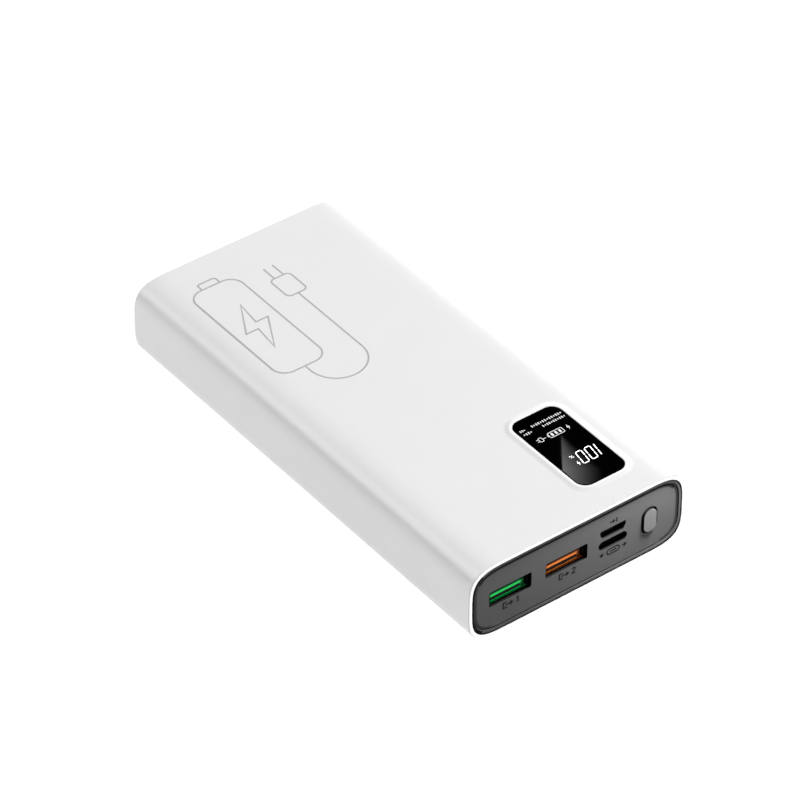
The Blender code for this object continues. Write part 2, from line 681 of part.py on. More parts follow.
def make_chassis():
    """Black carrier that slides into the sleeve with the cells and the board on it."""
    floor_top = CHASSIS_BOTTOM + CHASSIS_FLOOR
    half_floor = CHASSIS_FLOOR_WIDTH / 2
    chassis = span_box(
        "inner_chassis",
        (-half_floor, half_floor),
        (CHASSIS_FRONT_Y, CHASSIS_BACK_Y),
        (CHASSIS_BOTTOM, floor_top),
        BLACK_PLASTIC,
    )
    rail_reach = CHASSIS_RAIL_X + CHASSIS_RAIL_WIDTH / 2
    rail_span = (MID_Z - CHASSIS_RAIL_HEIGHT / 2, MID_Z + CHASSIS_RAIL_HEIGHT / 2)
    wall_span = (floor_top - OVERLAP, MID_Z)
    upright = (-half_floor + CHASSIS_UPRIGHT_INSET, half_floor - CHASSIS_UPRIGHT_INSET)
    cross_span = (rail_span[0], MID_Z - CHASSIS_CROSS_STEP)
    for name, y in (("bulkhead", BULKHEAD_Y), ("rear_wall", CHASSIS_BACK_Y - CHASSIS_WALL / 2)):
        y_span = (y - CHASSIS_WALL / 2, y + CHASSIS_WALL / 2)
        join(chassis, span_box(name + "_upright", upright, y_span, wall_span))
        join(chassis, span_box(name + "_cross", (-rail_reach, rail_reach), y_span, cross_span))
    for side, name in ((-1, "left_rail"), (1, "right_rail")):
        x_span = sorted((side * (rail_reach - CHASSIS_RAIL_WIDTH), side * rail_reach))
        y_span = (BULKHEAD_Y - CHASSIS_WALL, CHASSIS_BACK_Y - CHASSIS_RAIL_STEP)
        join(chassis, span_box(name, x_span, y_span, rail_span))
    for index, place_xy in enumerate(SCREW_PLACES):
        join_boss(chassis, index + 1, place_xy, floor_top)
    hole_span = (PCB_BOTTOM - SCREW_LENGTH, PCB_TOP)
    for index, place_xy in enumerate(SCREW_PLACES):
        name = "boss_hole_%d" % (index + 1)
        cut(chassis, cylinder(name, SCREW_CLEARANCE, hole_span, place_xy, None, HOLE_SEGMENTS))
    notch_z = (CHASSIS_BOTTOM - OVERSHOOT, floor_top + CHASSIS_NOTCH_RISE)
    for side, side_name in ((-1, "left"), (1, "right")):
        for end, end_name in ((-1, "front"), (1, "rear")):
            notch_y = sorted((end * (TAB_INNER_Y - GAP), end * HALF_LENGTH))
            notch_x = (side * TAB_X - TAB_WIDTH / 2 - GAP, side * TAB_X + TAB_WIDTH / 2 + GAP)
            name = "_".join(("tab_notch", side_name, end_name))
            cut(chassis, span_box(name, notch_x, notch_y, notch_z))
    return chassis


def make_cell(name, z):
    """Pouch cell: a soft-edged slab with a thin sealed terrace at the front."""
    cell = box(name, (CELL_WIDTH, CELL_LENGTH, CELL_THICKNESS), (0.0, CELL_MIDDLE_Y, z), CELL_FOIL)
    bevel(cell, CELL_EDGE, 3)
    terrace_y = (CELL_FRONT_Y - TERRACE_LENGTH, CELL_FRONT_Y + TERRACE_ROOT)
    half = CELL_WIDTH / 2 - TERRACE_INSET
    terrace_z = (z - TERRACE_THICKNESS / 2, z + TERRACE_THICKNESS / 2)
    join(cell, span_box(name + "_terrace", (-half, half), terrace_y, terrace_z))
    return cell


def make_cell_tabs():
    """Four nickel strips that run from the cells' terraces to the protection board."""
    top_z = PAD_Z + PROTECTION_SIZE[2] / 2 + GAP + CELL_TAB_THICKNESS / 2
    bottom_z = PAD_Z - PROTECTION_SIZE[2] / 2 - GAP - CELL_TAB_THICKNESS / 2
    terrace_end = CELL_FRONT_Y - TERRACE_LENGTH
    for cell_name, cell_z, end_z in (("upper", UPPER_CELL_Z, top_z), ("lower", LOWER_CELL_Z, bottom_z)):
        for pole, side in (("positive", -1), ("negative", 1)):
            path = [
                (terrace_end - TIGHT_GAP, cell_z),
                (terrace_end - CELL_TAB_BEND, cell_z),
                (terrace_end - CELL_TAB_BEND, end_z),
                (PROTECTION_Y + CELL_TAB_REACH, end_z),
            ]
            name = "_".join(("cell_tab", cell_name, pole))
            strip(name, path, CELL_TAB_THICKNESS, CELL_TAB_WIDTH, side * CELL_TAB_X, NICKEL_STRIP)


def make_leads():
    """Red and black leads that run from the protection board over the bulkhead to the main board."""
    start_z = PAD_Z + PROTECTION_SIZE[2] / 2 + GAP
    pad_z = PCB_TOP + GAP + LEAD_RADIUS
    crest_z = pad_z + LEAD_CREST
    route_yz = [
        (PROTECTION_Y, start_z),
        (PROTECTION_Y, start_z + 0.7 * MM),
        (PROTECTION_Y - 0.6 * MM, start_z + 1.7 * MM),
        (PROTECTION_Y - 1.8 * MM, crest_z),
        (BULKHEAD_Y - 0.2 * MM, crest_z),
        (BULKHEAD_Y - 2.0 * MM, pad_z + 0.1 * MM),
        (BULKHEAD_Y - 4.2 * MM, pad_z),
    ]
    for name, side, finish in (("lead_positive", -1, LEAD_RED), ("lead_negative", 1, LEAD_BLACK)):
        curve = bpy.data.curves.new(name, "CURVE")
        curve.dimensions = "3D"
        curve.bevel_depth = LEAD_RADIUS
        curve.bevel_resolution = 2
        curve.use_fill_caps = True
        points = smooth_route([(side * LEAD_X, y, z) for y, z in route_yz], LEAD_STEPS)
        spline = curve.splines.new("POLY")
        spline.points.add(len(points) - 1)
        for point, position in zip(spline.points, points):
            point.co = (*position, 1.0)
        place(curve, name, (0.0, 0.0, 0.0), (0.0, 0.0, 0.0), finish)


def make_battery():
    """The two cells, what holds them together, and what carries their current."""
    make_cell("battery_cell_lower", LOWER_CELL_Z)
    make_cell("battery_cell_upper", UPPER_CELL_Z)
    pad_size = (PAD_WIDTH, CELL_LENGTH - 2 * PAD_MARGIN, PAD_THICKNESS)
    foam_size = (FOAM_WIDTH, CELL_LENGTH - 2 * FOAM_MARGIN, FOAM_THICKNESS)
    box("cell_adhesive_pad", pad_size, (0.0, CELL_MIDDLE_Y, PAD_Z), TAPE)
    box("foam_pad", foam_size, (0.0, CELL_MIDDLE_Y, FOAM_Z), FOAM)
    box("protection_board", PROTECTION_SIZE, (0.0, PROTECTION_Y, PAD_Z), BOARD_GREEN)
    make_cell_tabs()
    make_leads()


# ---------------------------------------------------------------- board and what is on it

def make_main_board():
    """Circuit board with a notch for each sunk socket and four screw holes."""
    half = PCB_WIDTH / 2
    board_z = (PCB_BOTTOM, PCB_TOP)
    board = span_box("main_board", (-half, half), (PCB_FRONT_Y, PCB_BACK_Y), board_z, BOARD_GREEN)
    notch_y = (PCB_FRONT_Y - OVERSHOOT, SHELL_FRONT_Y + USB_A_LENGTH + PCB_NOTCH_GAP)
    through_z = (PCB_BOTTOM - OVERSHOOT, PCB_TOP + OVERSHOOT)
    reach = USB_A_SHELL[0] / 2 + GAP
    for index, x in enumerate(USB_A_X):
        cut(board, span_box("board_notch_%d" % (index + 1), (x - reach, x + reach), notch_y, through_z))
    for index, place_xy in enumerate(SCREW_PLACES):
        name = "board_hole_%d" % (index + 1)
        cut(board, cylinder(name, SCREW_CLEARANCE, through_z, place_xy, None, HOLE_SEGMENTS))
    return board


def make_screw(name, place_xy):
    """Pan-head screw with a cross recess."""
    head_bottom = PCB_TOP + TIGHT_GAP
    head_top = head_bottom + SCREW_HEAD_HEIGHT
    screw = cylinder(name, SCREW_HEAD_RADIUS, (head_bottom, head_top), place_xy, BRIGHT_STEEL, 20)
    bevel(screw, SCREW_HEAD_EDGE, 1)
    shank_span = (PCB_BOTTOM - SCREW_LENGTH + SCREW_TIP_GAP, head_bottom + SCREW_HEAD_ROOT)
    join(screw, cylinder(name + "_shank", SCREW_RADIUS, shank_span, place_xy, None, 12))
    for turn, direction in ((0.0, "long"), (math.pi / 2, "cross")):
        recess = box("_".join((name, "recess", direction)), SCREW_RECESS, (*place_xy, head_top))
        recess.rotation_euler.z = turn
        cut(screw, recess)
    return screw


def make_usb_a(index, x, plastic):
    """USB-A socket: steel shell, coloured tongue, four spring contacts."""
    back_y = SHELL_FRONT_Y + USB_A_LENGTH
    shell_outline = round_rectangle(*USB_A_SHELL, USB_A_SHELL_ROUND, 3)
    middle = (x, (SHELL_FRONT_Y + back_y) / 2, MID_Z)
    shell = extrusion("usb_a_shell_%d" % index, shell_outline, USB_A_LENGTH, middle, FACING_Y, DARK_STEEL)
    inner = [side - 2 * SHELL_WALL for side in USB_A_SHELL]
    bore_outline = round_rectangle(*inner, USB_A_BORE_ROUND, 2)
    bore_span = (SHELL_FRONT_Y - OVERSHOOT, back_y + OVERSHOOT)
    cut(shell, through_front("usb_a_bore_%d" % index, bore_outline, x, MID_Z, bore_span))
    for side, name in ((-1, "left"), (1, "right")):
        latch_centre = (x + side * LATCH_OFFSET, SHELL_FRONT_Y + LATCH_DEPTH, MID_Z)
        cut(shell, box("usb_a_latch_%d_%s" % (index, name), LATCH_SIZE, latch_centre))

    half = TONGUE_WIDTH / 2
    tongue_y = (SHELL_FRONT_Y + TONGUE_SET_BACK, back_y - TONGUE_BACK_GAP)
    tongue_z = (TONGUE_TOP - TONGUE_THICKNESS, TONGUE_TOP)
    tongue = span_box("usb_a_tongue_%d" % index, (x - half, x + half), tongue_y, tongue_z, plastic)
    bevel(tongue, TONGUE_EDGE, 1)
    base_half_x = inner[0] / 2 - TIGHT_GAP
    base_half_z = inner[1] / 2 - TIGHT_GAP
    base_y = (back_y - TONGUE_BASE_DEPTH, back_y - TONGUE_BASE_GAP)
    base_z = (MID_Z - base_half_z, MID_Z + base_half_z)
    join(tongue, span_box("usb_a_base_%d" % index, (x - base_half_x, x + base_half_x), base_y, base_z))
    for number, offset in enumerate(CONTACT_OFFSETS):
        make_contact(index, number + 1, x + offset, back_y, tongue)


def make_contact(socket, number, x, back_y, tongue):
    """One spring contact, and the slot that it lies in."""
    slot_half = CONTACT_WIDTH / 2 + SLOT_MARGIN
    slot_x = (x - slot_half, x + slot_half)
    slot_y = (SHELL_FRONT_Y + SLOT_START, back_y + OVERSHOOT)
    slot_z = (CONTACT_Z - CONTACT_THICKNESS / 2 - SLOT_BELOW, CONTACT_Z + SLOT_ABOVE)
    cut(tongue, span_box("usb_a_slot_%d_%d" % (socket, number), slot_x, slot_y, slot_z))
    path = [
        (SHELL_FRONT_Y + CONTACT_START, CONTACT_Z - CONTACT_DIP),
        (SHELL_FRONT_Y + CONTACT_DIP_END, CONTACT_Z),
        (back_y + CONTACT_BEND_START, CONTACT_Z),
        (back_y + CONTACT_BEND_END, CONTACT_Z + CONTACT_LIFT),
        (back_y + CONTACT_TAIL, CONTACT_Z + CONTACT_LIFT),
    ]
    name = "usb_a_contact_%d_%d" % (socket, number)
    strip(name, path, CONTACT_THICKNESS, CONTACT_WIDTH, x, GOLD_PLATING)


def make_type_c():
    """Type-C socket under the board: seamless steel shell and a thin black tongue."""
    back_y = SHELL_FRONT_Y + TYPE_C_LENGTH
    middle = (TYPE_C_X, (SHELL_FRONT_Y + back_y) / 2, TYPE_C_Z)
    outline = stadium(*TYPE_C_SHELL, 8)
    shell = extrusion("type_c_shell", outline, TYPE_C_LENGTH, middle, FACING_Y, DARK_STEEL)
    inner = [side - 2 * SHELL_WALL for side in TYPE_C_SHELL]
    bore_span = (SHELL_FRONT_Y - OVERSHOOT, back_y + OVERSHOOT)
    cut(shell, through_front("type_c_bore", stadium(*inner, 8), TYPE_C_X, TYPE_C_Z, bore_span))
    width, height = TYPE_C_TONGUE
    tongue = span_box(
        "type_c_tongue",
        (TYPE_C_X - width / 2, TYPE_C_X + width / 2),
        (SHELL_FRONT_Y + SMALL_TONGUE_GAP, back_y - SMALL_TONGUE_GAP),
        (TYPE_C_Z - height / 2, TYPE_C_Z + height / 2),
        BLACK_PLASTIC,
    )
    base_outline = stadium(*(side - 2 * TIGHT_GAP for side in inner), 8)
    base_span = (back_y - TYPE_C_BASE_DEPTH, back_y - TIGHT_GAP)
    join(tongue, through_front("type_c_base", base_outline, TYPE_C_X, TYPE_C_Z, base_span))


def make_micro_usb():
    """Micro-USB socket on top of the board, wide side up."""
    back_y = SHELL_FRONT_Y + MICRO_LENGTH
    outline = micro_outline(*MICRO_SHELL)
    middle = (MICRO_X, (SHELL_FRONT_Y + back_y) / 2, MICRO_Z)
    shell = extrusion("micro_usb_shell", outline, MICRO_LENGTH, middle, FACING_Y, DARK_STEEL)
    bore_span = (SHELL_FRONT_Y - OVERSHOOT, back_y + OVERSHOOT)
    bore_outline = micro_outline(*MICRO_SHELL, SHELL_WALL)
    cut(shell, through_front("micro_usb_bore", bore_outline, MICRO_X, MICRO_Z, bore_span))
    half = MICRO_TONGUE_WIDTH / 2
    tongue = span_box(
        "micro_usb_tongue",
        (MICRO_X - half, MICRO_X + half),
        (SHELL_FRONT_Y + SMALL_TONGUE_GAP, back_y - SMALL_TONGUE_GAP),
        [MICRO_Z + rise for rise in MICRO_TONGUE_RISE],
        BLACK_PLASTIC,
    )
    base_outline = micro_outline(*MICRO_SHELL, SHELL_WALL + TIGHT_GAP)
    base_span = (back_y - MICRO_BASE_DEPTH, back_y - TIGHT_GAP)
    join(tongue, through_front("micro_usb_base", base_outline, MICRO_X, MICRO_Z, base_span))


def make_button():
    """Press button: a cap with round ends, a flange behind the plate and a short stem."""
    cap_front = FRONT_Y + PLATE_SET_BACK
    flange_front = FLOOR_BACK_Y + GAP
    flange_back = flange_front + BUTTON_FLANGE_THICKNESS
    cap_depth = flange_front + TIGHT_GAP - cap_front
    middle = (BUTTON_X, cap_front + cap_depth / 2, MID_Z)
    button = extrusion("power_button", stadium(*BUTTON_CAP), cap_depth, middle, FACING_Y, BUTTON_PLASTIC)
    bevel(button, BUTTON_EDGE, 2)
    flange_span = (flange_front, flange_back)
    join(button, through_front("button_flange", stadium(*BUTTON_FLANGE, 8), BUTTON_X, MID_Z, flange_span))
    half = BUTTON_STEM_WIDTH / 2
    stem_y = (flange_back - TIGHT_GAP, PLUNGER_FRONT_Y - PLUNGER_GAP)
    stem_x = (BUTTON_X - half, BUTTON_X + half)
    stem_z = (SWITCH_Z - half, SWITCH_Z + half)
    join(button, span_box("button_stem", stem_x, stem_y, stem_z))
    return button


def make_switch():
    """Side-push switch under the board: body, steel cover and plunger."""
    body_centre = (BUTTON_X, SWITCH_FRONT_Y + SWITCH_SIZE[1] / 2, SWITCH_Z)
    body = box("switch_body", SWITCH_SIZE, body_centre, BLACK_PLASTIC)
    cut(body, box("switch_pocket", SWITCH_POCKET, (BUTTON_X, SWITCH_FRONT_Y, SWITCH_Z)))
    cover_centre = (BUTTON_X, SWITCH_FRONT_Y - TIGHT_GAP - SWITCH_COVER[1] / 2, SWITCH_Z)
    cover = box("switch_cover", SWITCH_COVER, cover_centre, BRIGHT_STEEL)
    cut(cover, box("switch_cover_hole", SWITCH_COVER_HOLE, cover_centre))
    width, height = PLUNGER_SIZE
    span_box(
        "switch_plunger",
        (BUTTON_X - width / 2, BUTTON_X + width / 2),
        (PLUNGER_FRONT_Y, PLUNGER_BACK_Y),
        (SWITCH_Z - height / 2, SWITCH_Z + height / 2),
        BUTTON_PLASTIC,
    )


def make_board_parts():
    """The larger components of the board."""
    top = PCB_TOP + TIGHT_GAP
    under = PCB_BOTTOM - TIGHT_GAP
    module_span = (top, INNER_TOP - GAP)
    module_size = (*MODULE_SIZE, module_span[1] - module_span[0])
    module = box("display_module", module_size, (*DIGIT_CENTRE, sum(module_span) / 2), BLACK_PLASTIC)
    bevel(module, MODULE_EDGE, 1)
    inductor_centre = (INDUCTOR_X, PART_ROW_Y, top + INDUCTOR_SIZE[2] / 2)
    inductor = box("power_inductor", INDUCTOR_SIZE, inductor_centre, FERRITE)
    bevel(inductor, INDUCTOR_EDGE, 2)
    can_span = (top, top + CAPACITOR_HEIGHT)
    for index, x in enumerate(CAPACITOR_X):
        name = "output_capacitor_%d" % (index + 1)
        can = cylinder(name, CAPACITOR_RADIUS, can_span, (x, PART_ROW_Y), CELL_FOIL)
        bevel(can, CAPACITOR_EDGE, 2)
    charge_centre = (*CHARGE_CHIP_PLACE, top + CHARGE_CHIP_SIZE[2] / 2)
    box("charge_controller", CHARGE_CHIP_SIZE, charge_centre, BLACK_PLASTIC)
    boost_centre = (*BOOST_CHIP_PLACE, under - BOOST_CHIP_SIZE[2] / 2)
    box("boost_controller", BOOST_CHIP_SIZE, boost_centre, BLACK_PLASTIC)


def make_power_bank():
    """Build every sub-part."""
    make_sleeve()
    make_window()
    make_front_plate()
    make_rear_cap()
    make_chassis()
    make_battery()
    make_main_board()
    for index, place_xy in enumerate(SCREW_PLACES):
        make_screw("board_screw_%d" % (index + 1), place_xy)
    for index, plastic in enumerate((GREEN_PLASTIC, ORANGE_PLASTIC)):
        make_usb_a(index + 1, USB_A_X[index], plastic)
    make_type_c()
    make_micro_usb()
    make_button()
    make_switch()
    make_board_parts()


make_power_bank()
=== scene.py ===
"""Looks of the slab power bank: fine meshes, finishes, studio light and camera.

Lengths are millimetres until they reach a mesh or the camera. Lights are placed in metres.
"""

import json
import math

import bmesh
import bpy
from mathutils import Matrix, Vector


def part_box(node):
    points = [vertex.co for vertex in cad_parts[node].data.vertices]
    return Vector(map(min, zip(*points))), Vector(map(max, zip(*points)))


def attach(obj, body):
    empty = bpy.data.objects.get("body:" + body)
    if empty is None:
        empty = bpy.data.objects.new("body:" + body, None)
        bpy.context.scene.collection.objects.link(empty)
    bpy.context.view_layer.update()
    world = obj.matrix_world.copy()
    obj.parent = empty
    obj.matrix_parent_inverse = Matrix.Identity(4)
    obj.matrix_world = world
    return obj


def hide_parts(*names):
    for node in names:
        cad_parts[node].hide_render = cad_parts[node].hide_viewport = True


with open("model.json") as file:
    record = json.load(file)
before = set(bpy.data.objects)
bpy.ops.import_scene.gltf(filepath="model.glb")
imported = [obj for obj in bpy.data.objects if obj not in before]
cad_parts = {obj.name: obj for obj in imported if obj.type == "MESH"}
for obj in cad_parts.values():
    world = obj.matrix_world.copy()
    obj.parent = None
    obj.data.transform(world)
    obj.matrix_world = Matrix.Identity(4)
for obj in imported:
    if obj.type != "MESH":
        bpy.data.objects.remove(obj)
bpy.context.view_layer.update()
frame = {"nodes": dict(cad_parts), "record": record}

MM = 0.001


# ---------------- sizes, read from the frame

def box_mm(node):
    """Lowest and highest corner of a CAD node, in millimetres."""
    low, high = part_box(node)
    return low / MM, high / MM


def middle(node, axis):
    """Middle of a CAD node along one axis."""
    low, high = box_mm(node)
    return (low[axis] + high[axis]) / 2


MOUNTS = {mount["name"]: mount["pos_m"] for mount in frame["record"]["mounts"]}
BODY_LOW, BODY_HIGH = box_mm("shell_sleeve")
BODY_WIDTH = BODY_HIGH.x - BODY_LOW.x
BODY_TOP = MOUNTS["top_face"][2] / MM
MID_Z = BODY_TOP / 2
FRONT = BODY_LOW.y
REAR = BODY_HIGH.y

# Cross-section of the body
CORNER_WIDTH = 13.3
CORNER_POWER = 3.8
FLAT = BODY_WIDTH / 2 - CORNER_WIDTH
SECTION_STEPS = 40
WALL = 1.8
RIM_WALL = 1.0
RIM_ROUND = 0.45
RIM_INNER_ROUND = 0.12
REBATE_DEPTH = 3.7

# Display
WINDOW_LOW, WINDOW_HIGH = box_mm("display_window")
WINDOW_GAP = 0.3
POCKET_HALF_X = (WINDOW_HIGH.x - WINDOW_LOW.x) / 2 + WINDOW_GAP
POCKET_HALF_Y = (WINDOW_HIGH.y - WINDOW_LOW.y) / 2 + WINDOW_GAP
WINDOW_X = middle("display_window", 0)
WINDOW_Y = middle("display_window", 1)
WINDOW_ROUND = 3.3
POCKET_FLOOR = WINDOW_LOW.z - 0.3
RING_RISE = BODY_HIGH.z - BODY_TOP
RING_FLAT = 0.55
RING_RAMP = 1.7
RING_WIDTH = RING_FLAT + RING_RAMP
GLASS_TOP = WINDOW_HIGH.z
DIGIT_OPENING = (10.25, 21.75, -57.3, -48.7)

# Socket plate
PLATE_FRONT = box_mm("front_plate")[0].y
PLATE_INSET = 1.15
PLATE_FACE = FRONT + 0.24
PLATE_DEPTH = 3.35
FIELD = FRONT + 0.5
FLOOR_BACK = FIELD + 1.2
LIP_THICKNESS = 0.4
HOLE_ROUND = 0.12
BUTTON_DROP = 0.26
MICRO_DROP = 0.5
TAB_X = 14.0
TAB_WIDTH = 6.0
TAB_LENGTH = 3.8
TAB_THICKNESS = 1.0
TAB_GAP = 0.3

ON_CASE = "case"
ON_BUTTON = "button"
PRINT_THICKNESS = 0.03


# ---------------- outlines

def arc(centre, radius, start, end, steps):
    """Points of an arc, in degrees."""
    points = []
    for step in range(steps + 1):
        angle = math.radians(start + (end - start) * step / steps)
        points.append((centre[0] + radius * math.cos(angle), centre[1] + radius * math.sin(angle)))
    return points


def spread(start, end, steps):
    """Evenly spaced points of a straight run, without its end."""
    points = []
    for step in range(steps):
        along = step / steps
        points.append(tuple(a + (b - a) * along for a, b in zip(start, end)))
    return points


def round_rectangle(half_x, half_y, radius, steps=8, centre=(0.0, 0.0), runs=(1, 1)):
    """A rectangle with round corners, counterclockwise; runs split its straight sides."""
    across = half_x - radius
    up = half_y - radius
    bends = []
    for index, corner in enumerate(((across, up), (-across, up), (-across, -up), (across, -up))):
        bends.append(arc(corner, radius, 90.0 * index, 90.0 * index + 90.0, steps))
    points = []
    for index, bend in enumerate(bends):
        points += bend[:-1] + spread(bend[-1], bends[(index + 1) % 4][0], runs[index % 2])
    return [(centre[0] + x, centre[1] + y) for x, y in points]


def stadium(half_x, half_y, steps=16):
    """A slot shape with half-round ends."""
    radius = min(half_x, half_y)
    return round_rectangle(half_x + 0.001, half_y + 0.001, radius, steps)


def directions(points):
    """Unit directions from each point to the next, round a closed row of points."""
    following = points[1:] + points[:1]
    return [(Vector(end) - Vector(start)).normalized() for start, end in zip(points, following)]


def with_directions(points):
    """Each point of a closed row with the direction into it and the one out of it."""
    runs = directions(points)
    return zip([Vector(point) for point in points], runs[-1:] + runs[:-1], runs)


def round_polygon(corners, radius):
    """A convex polygon, counterclockwise, whose corners are rounded."""
    points = []
    for corner, run_in, run_out in with_directions(corners):
        half_angle = run_out.angle(-run_in) / 2
        centre = corner + (run_out - run_in).normalized() * radius / math.sin(half_angle)
        start = corner - run_in * radius / math.tan(half_angle) - centre
        first = math.degrees(math.atan2(start.y, start.x))
        points += arc(centre, radius, first, first + 180.0 - math.degrees(2 * half_angle), 5)
    return points


def grow(outline, distance):
    """A counterclockwise outline moved outwards by a distance."""
    points = []
    for point, run_in, run_out in with_directions(outline):
        normal_in = Vector((run_in.y, -run_in.x))
        bisector = (normal_in + Vector((run_out.y, -run_out.x))).normalized()
        reach = distance / max(bisector.dot(normal_in), 0.5)
        points.append(tuple(point + bisector * reach))
    return points


def section(inset):
    """The body's cross-section in X and Z, drawn in by an inset, counterclockwise from the right."""
    across = CORNER_WIDTH - inset
    up = MID_Z - inset
    quarter = []
    for step in range(SECTION_STEPS + 1):
        angle = math.pi / 2 * step / SECTION_STEPS
        cos, sin = math.cos(angle), math.sin(angle)
        reach = (cos ** CORNER_POWER + sin ** CORNER_POWER) ** (-1 / CORNER_POWER)
        quarter.append((FLAT + across * reach * cos, up * reach * sin))
    top_left = [(-x, z) for x, z in reversed(quarter)]
    bottom_left = [(-x, -z) for x, z in quarter[1:]]
    bottom_right = [(x, -z) for x, z in reversed(quarter[1:])]
    stations = spread(quarter[-1], (PATCH_LEFT, up), TOP_STATIONS)[1:] + [(PATCH_LEFT, up)]
    loop = quarter + stations + top_left + bottom_left + bottom_right
    return [(x, z + MID_Z) for x, z in loop]


def past_flat(x):
    """How far a place lies past the flat part of the section, across its width."""
    return max(abs(x) - FLAT, 0.0)


def top_height(x):
    """Height of the body's outer skin above a place across its width."""
    beyond = past_flat(x) / CORNER_WIDTH
    return MID_Z + MID_Z * (1 - beyond ** CORNER_POWER) ** (1 / CORNER_POWER)


# ---------------- mesh work

def new_object(name, form):
    """An object made of a mesh in the making."""
    mesh = bpy.data.meshes.new(name)
    form.to_mesh(mesh)
    form.free()
    item = bpy.data.objects.new(name, mesh)
    bpy.context.scene.collection.objects.link(item)
    return item


def new_solid(name, form):
    """An object made of a closed mesh in the making, in millimetres."""
    bmesh.ops.scale(form, vec=(MM, MM, MM), verts=form.verts)
    bmesh.ops.recalc_face_normals(form, faces=form.faces)
    return new_object(name, form)


def new_piece(name, form, finish, body=ON_CASE):
    """A smooth-shaded solid that rides a body."""
    piece = new_solid(name, form)
    piece.data.materials.append(finish)
    shade(piece)
    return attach(piece, body)


def shade(piece):
    """Smooth shading with crisp edges, in which the large faces set the direction."""
    piece.data.shade_smooth()
    piece.data.set_sharp_from_angle(angle=math.radians(34.0))
    weighting = piece.modifiers.new("weighting", "WEIGHTED_NORMAL")
    weighting.keep_sharp = True
    weighting.weight = 60


def loft(form, loops, cap=True):
    """A skin over a row of loops of the same length, capped at both ends or left open."""
    rings = [[form.verts.new(point) for point in loop] for loop in loops]
    for first, second in zip(rings, rings[1:]):
        for index in range(len(first)):
            after = (index + 1) % len(first)
            form.faces.new((first[index], first[after], second[after], second[index]))
    if cap:
        form.faces.new(rings[0])
        form.faces.new(rings[-1])
    return rings


def stitch(form, outer, inner, centre):
    """Triangles between two loops that both run once round a centre, counterclockwise."""
    def turn(vert):
        return math.atan2(vert.co.y - centre[1], vert.co.x - centre[0])

    edges = []
    for loop in (outer, inner):
        start = min(range(len(loop)), key=lambda index: turn(loop[index]))
        ordered = loop[start:] + loop[:start]
        turns = [turn(vert) for vert in ordered] + [turn(ordered[0]) + math.tau]
        edges.append((ordered + ordered[:1], turns))
    (outer, outer_turns), (inner, inner_turns) = edges
    i = j = 0
    while i + 1 < len(outer) or j + 1 < len(inner):
        if j + 1 == len(inner) or (i + 1 < len(outer) and outer_turns[i + 1] <= inner_turns[j + 1]):
            form.faces.new((outer[i], outer[i + 1], inner[j]))
            i += 1
        else:
            form.faces.new((outer[i], inner[j + 1], inner[j]))
            j += 1


def add_block(form, low, high):
    """A box between two corners."""
    corners = [(low[0], low[1]), (high[0], low[1]), (high[0], high[1]), (low[0], high[1])]
    loft(form, [[(x, y, z) for x, y in corners] for z in (low[2], high[2])])


def facing_front(outline, y):
    """An outline in X and Z, placed at a depth."""
    return [(x, y, z) for x, z in outline]


def grown(outline, rows):
    """Loops of an outline in X and Z, one for each row of a distance outwards and a depth."""
    return [facing_front(grow(outline, distance), y) for distance, y in rows]


def boolean(piece, operation, form):
    """Cut or join a piece with a closed mesh in the making."""
    tool = new_solid("tool", form)
    piece.modifiers.remove(piece.modifiers["weighting"])
    step = piece.modifiers.new("step", "BOOLEAN")
    step.operation = operation
    step.solver = "EXACT"
    step.object = tool
    evaluated = piece.evaluated_get(bpy.context.evaluated_depsgraph_get())
    result = bpy.data.meshes.new_from_object(evaluated)
    piece.modifiers.remove(step)
    piece.data = result
    bpy.data.objects.remove(tool)
    shade(piece)


def join_block(piece, low, high):
    """Join a box between two corners to a piece."""
    form = bmesh.new()
    add_block(form, low, high)
    boolean(piece, "UNION", form)


def add_finishes(piece, *materials):
    """Give a piece more materials; returns their numbers."""
    for material in materials:
        piece.data.materials.append(material)
    return range(1, len(materials) + 1)


# ---------------- finishes

def add_node(tree, kind, socket, source, **values):
    """Add a node, link a source to one of its sockets, and set others by name."""
    node = tree.nodes.new(kind)
    tree.links.new(source, node.inputs[socket])
    for name, value in values.items():
        node.inputs[name.replace("_", " ")].default_value = value
    return node


def own_place(tree):
    """Coordinates that are fixed to the piece."""
    return tree.nodes.new("ShaderNodeTexCoord").outputs["Object"]


def grain(tree, size, detail=3.0, roughness=0.5, stretch=(1.0, 1.0, 1.0)):
    """Noise with a grain size in millimetres."""
    place = add_node(tree, "ShaderNodeMapping", "Vector", own_place(tree), Scale=stretch).outputs["Vector"]
    settings = {"Scale": 1.0 / (size * MM), "Detail": detail, "Roughness": roughness}
    return add_node(tree, "ShaderNodeTexNoise", "Vector", place, **settings).outputs["Fac"]


def cells(tree, size, feature="F1"):
    """Cellular pattern with a cell size in millimetres."""
    voronoi = add_node(tree, "ShaderNodeTexVoronoi", "Vector", own_place(tree), Scale=1.0 / (size * MM))
    voronoi.feature = feature
    return voronoi.outputs["Distance"]


def spread_value(tree, source, low, high):
    """Map the middle half of a pattern to a range."""
    ends = {"From_Min": 0.25, "From_Max": 0.75, "To_Min": low, "To_Max": high}
    return add_node(tree, "ShaderNodeMapRange", "Value", source, **ends).outputs["Result"]


def tint(tree, source, dark, light):
    """Colour that runs between two shades over a pattern."""
    ramp = add_node(tree, "ShaderNodeValToRGB", "Fac", source)
    for element, position, colour in zip(ramp.color_ramp.elements, (0.3, 0.7), (dark, light)):
        element.position = position
        element.color = (*colour, 1.0)
    return ramp.outputs["Color"]


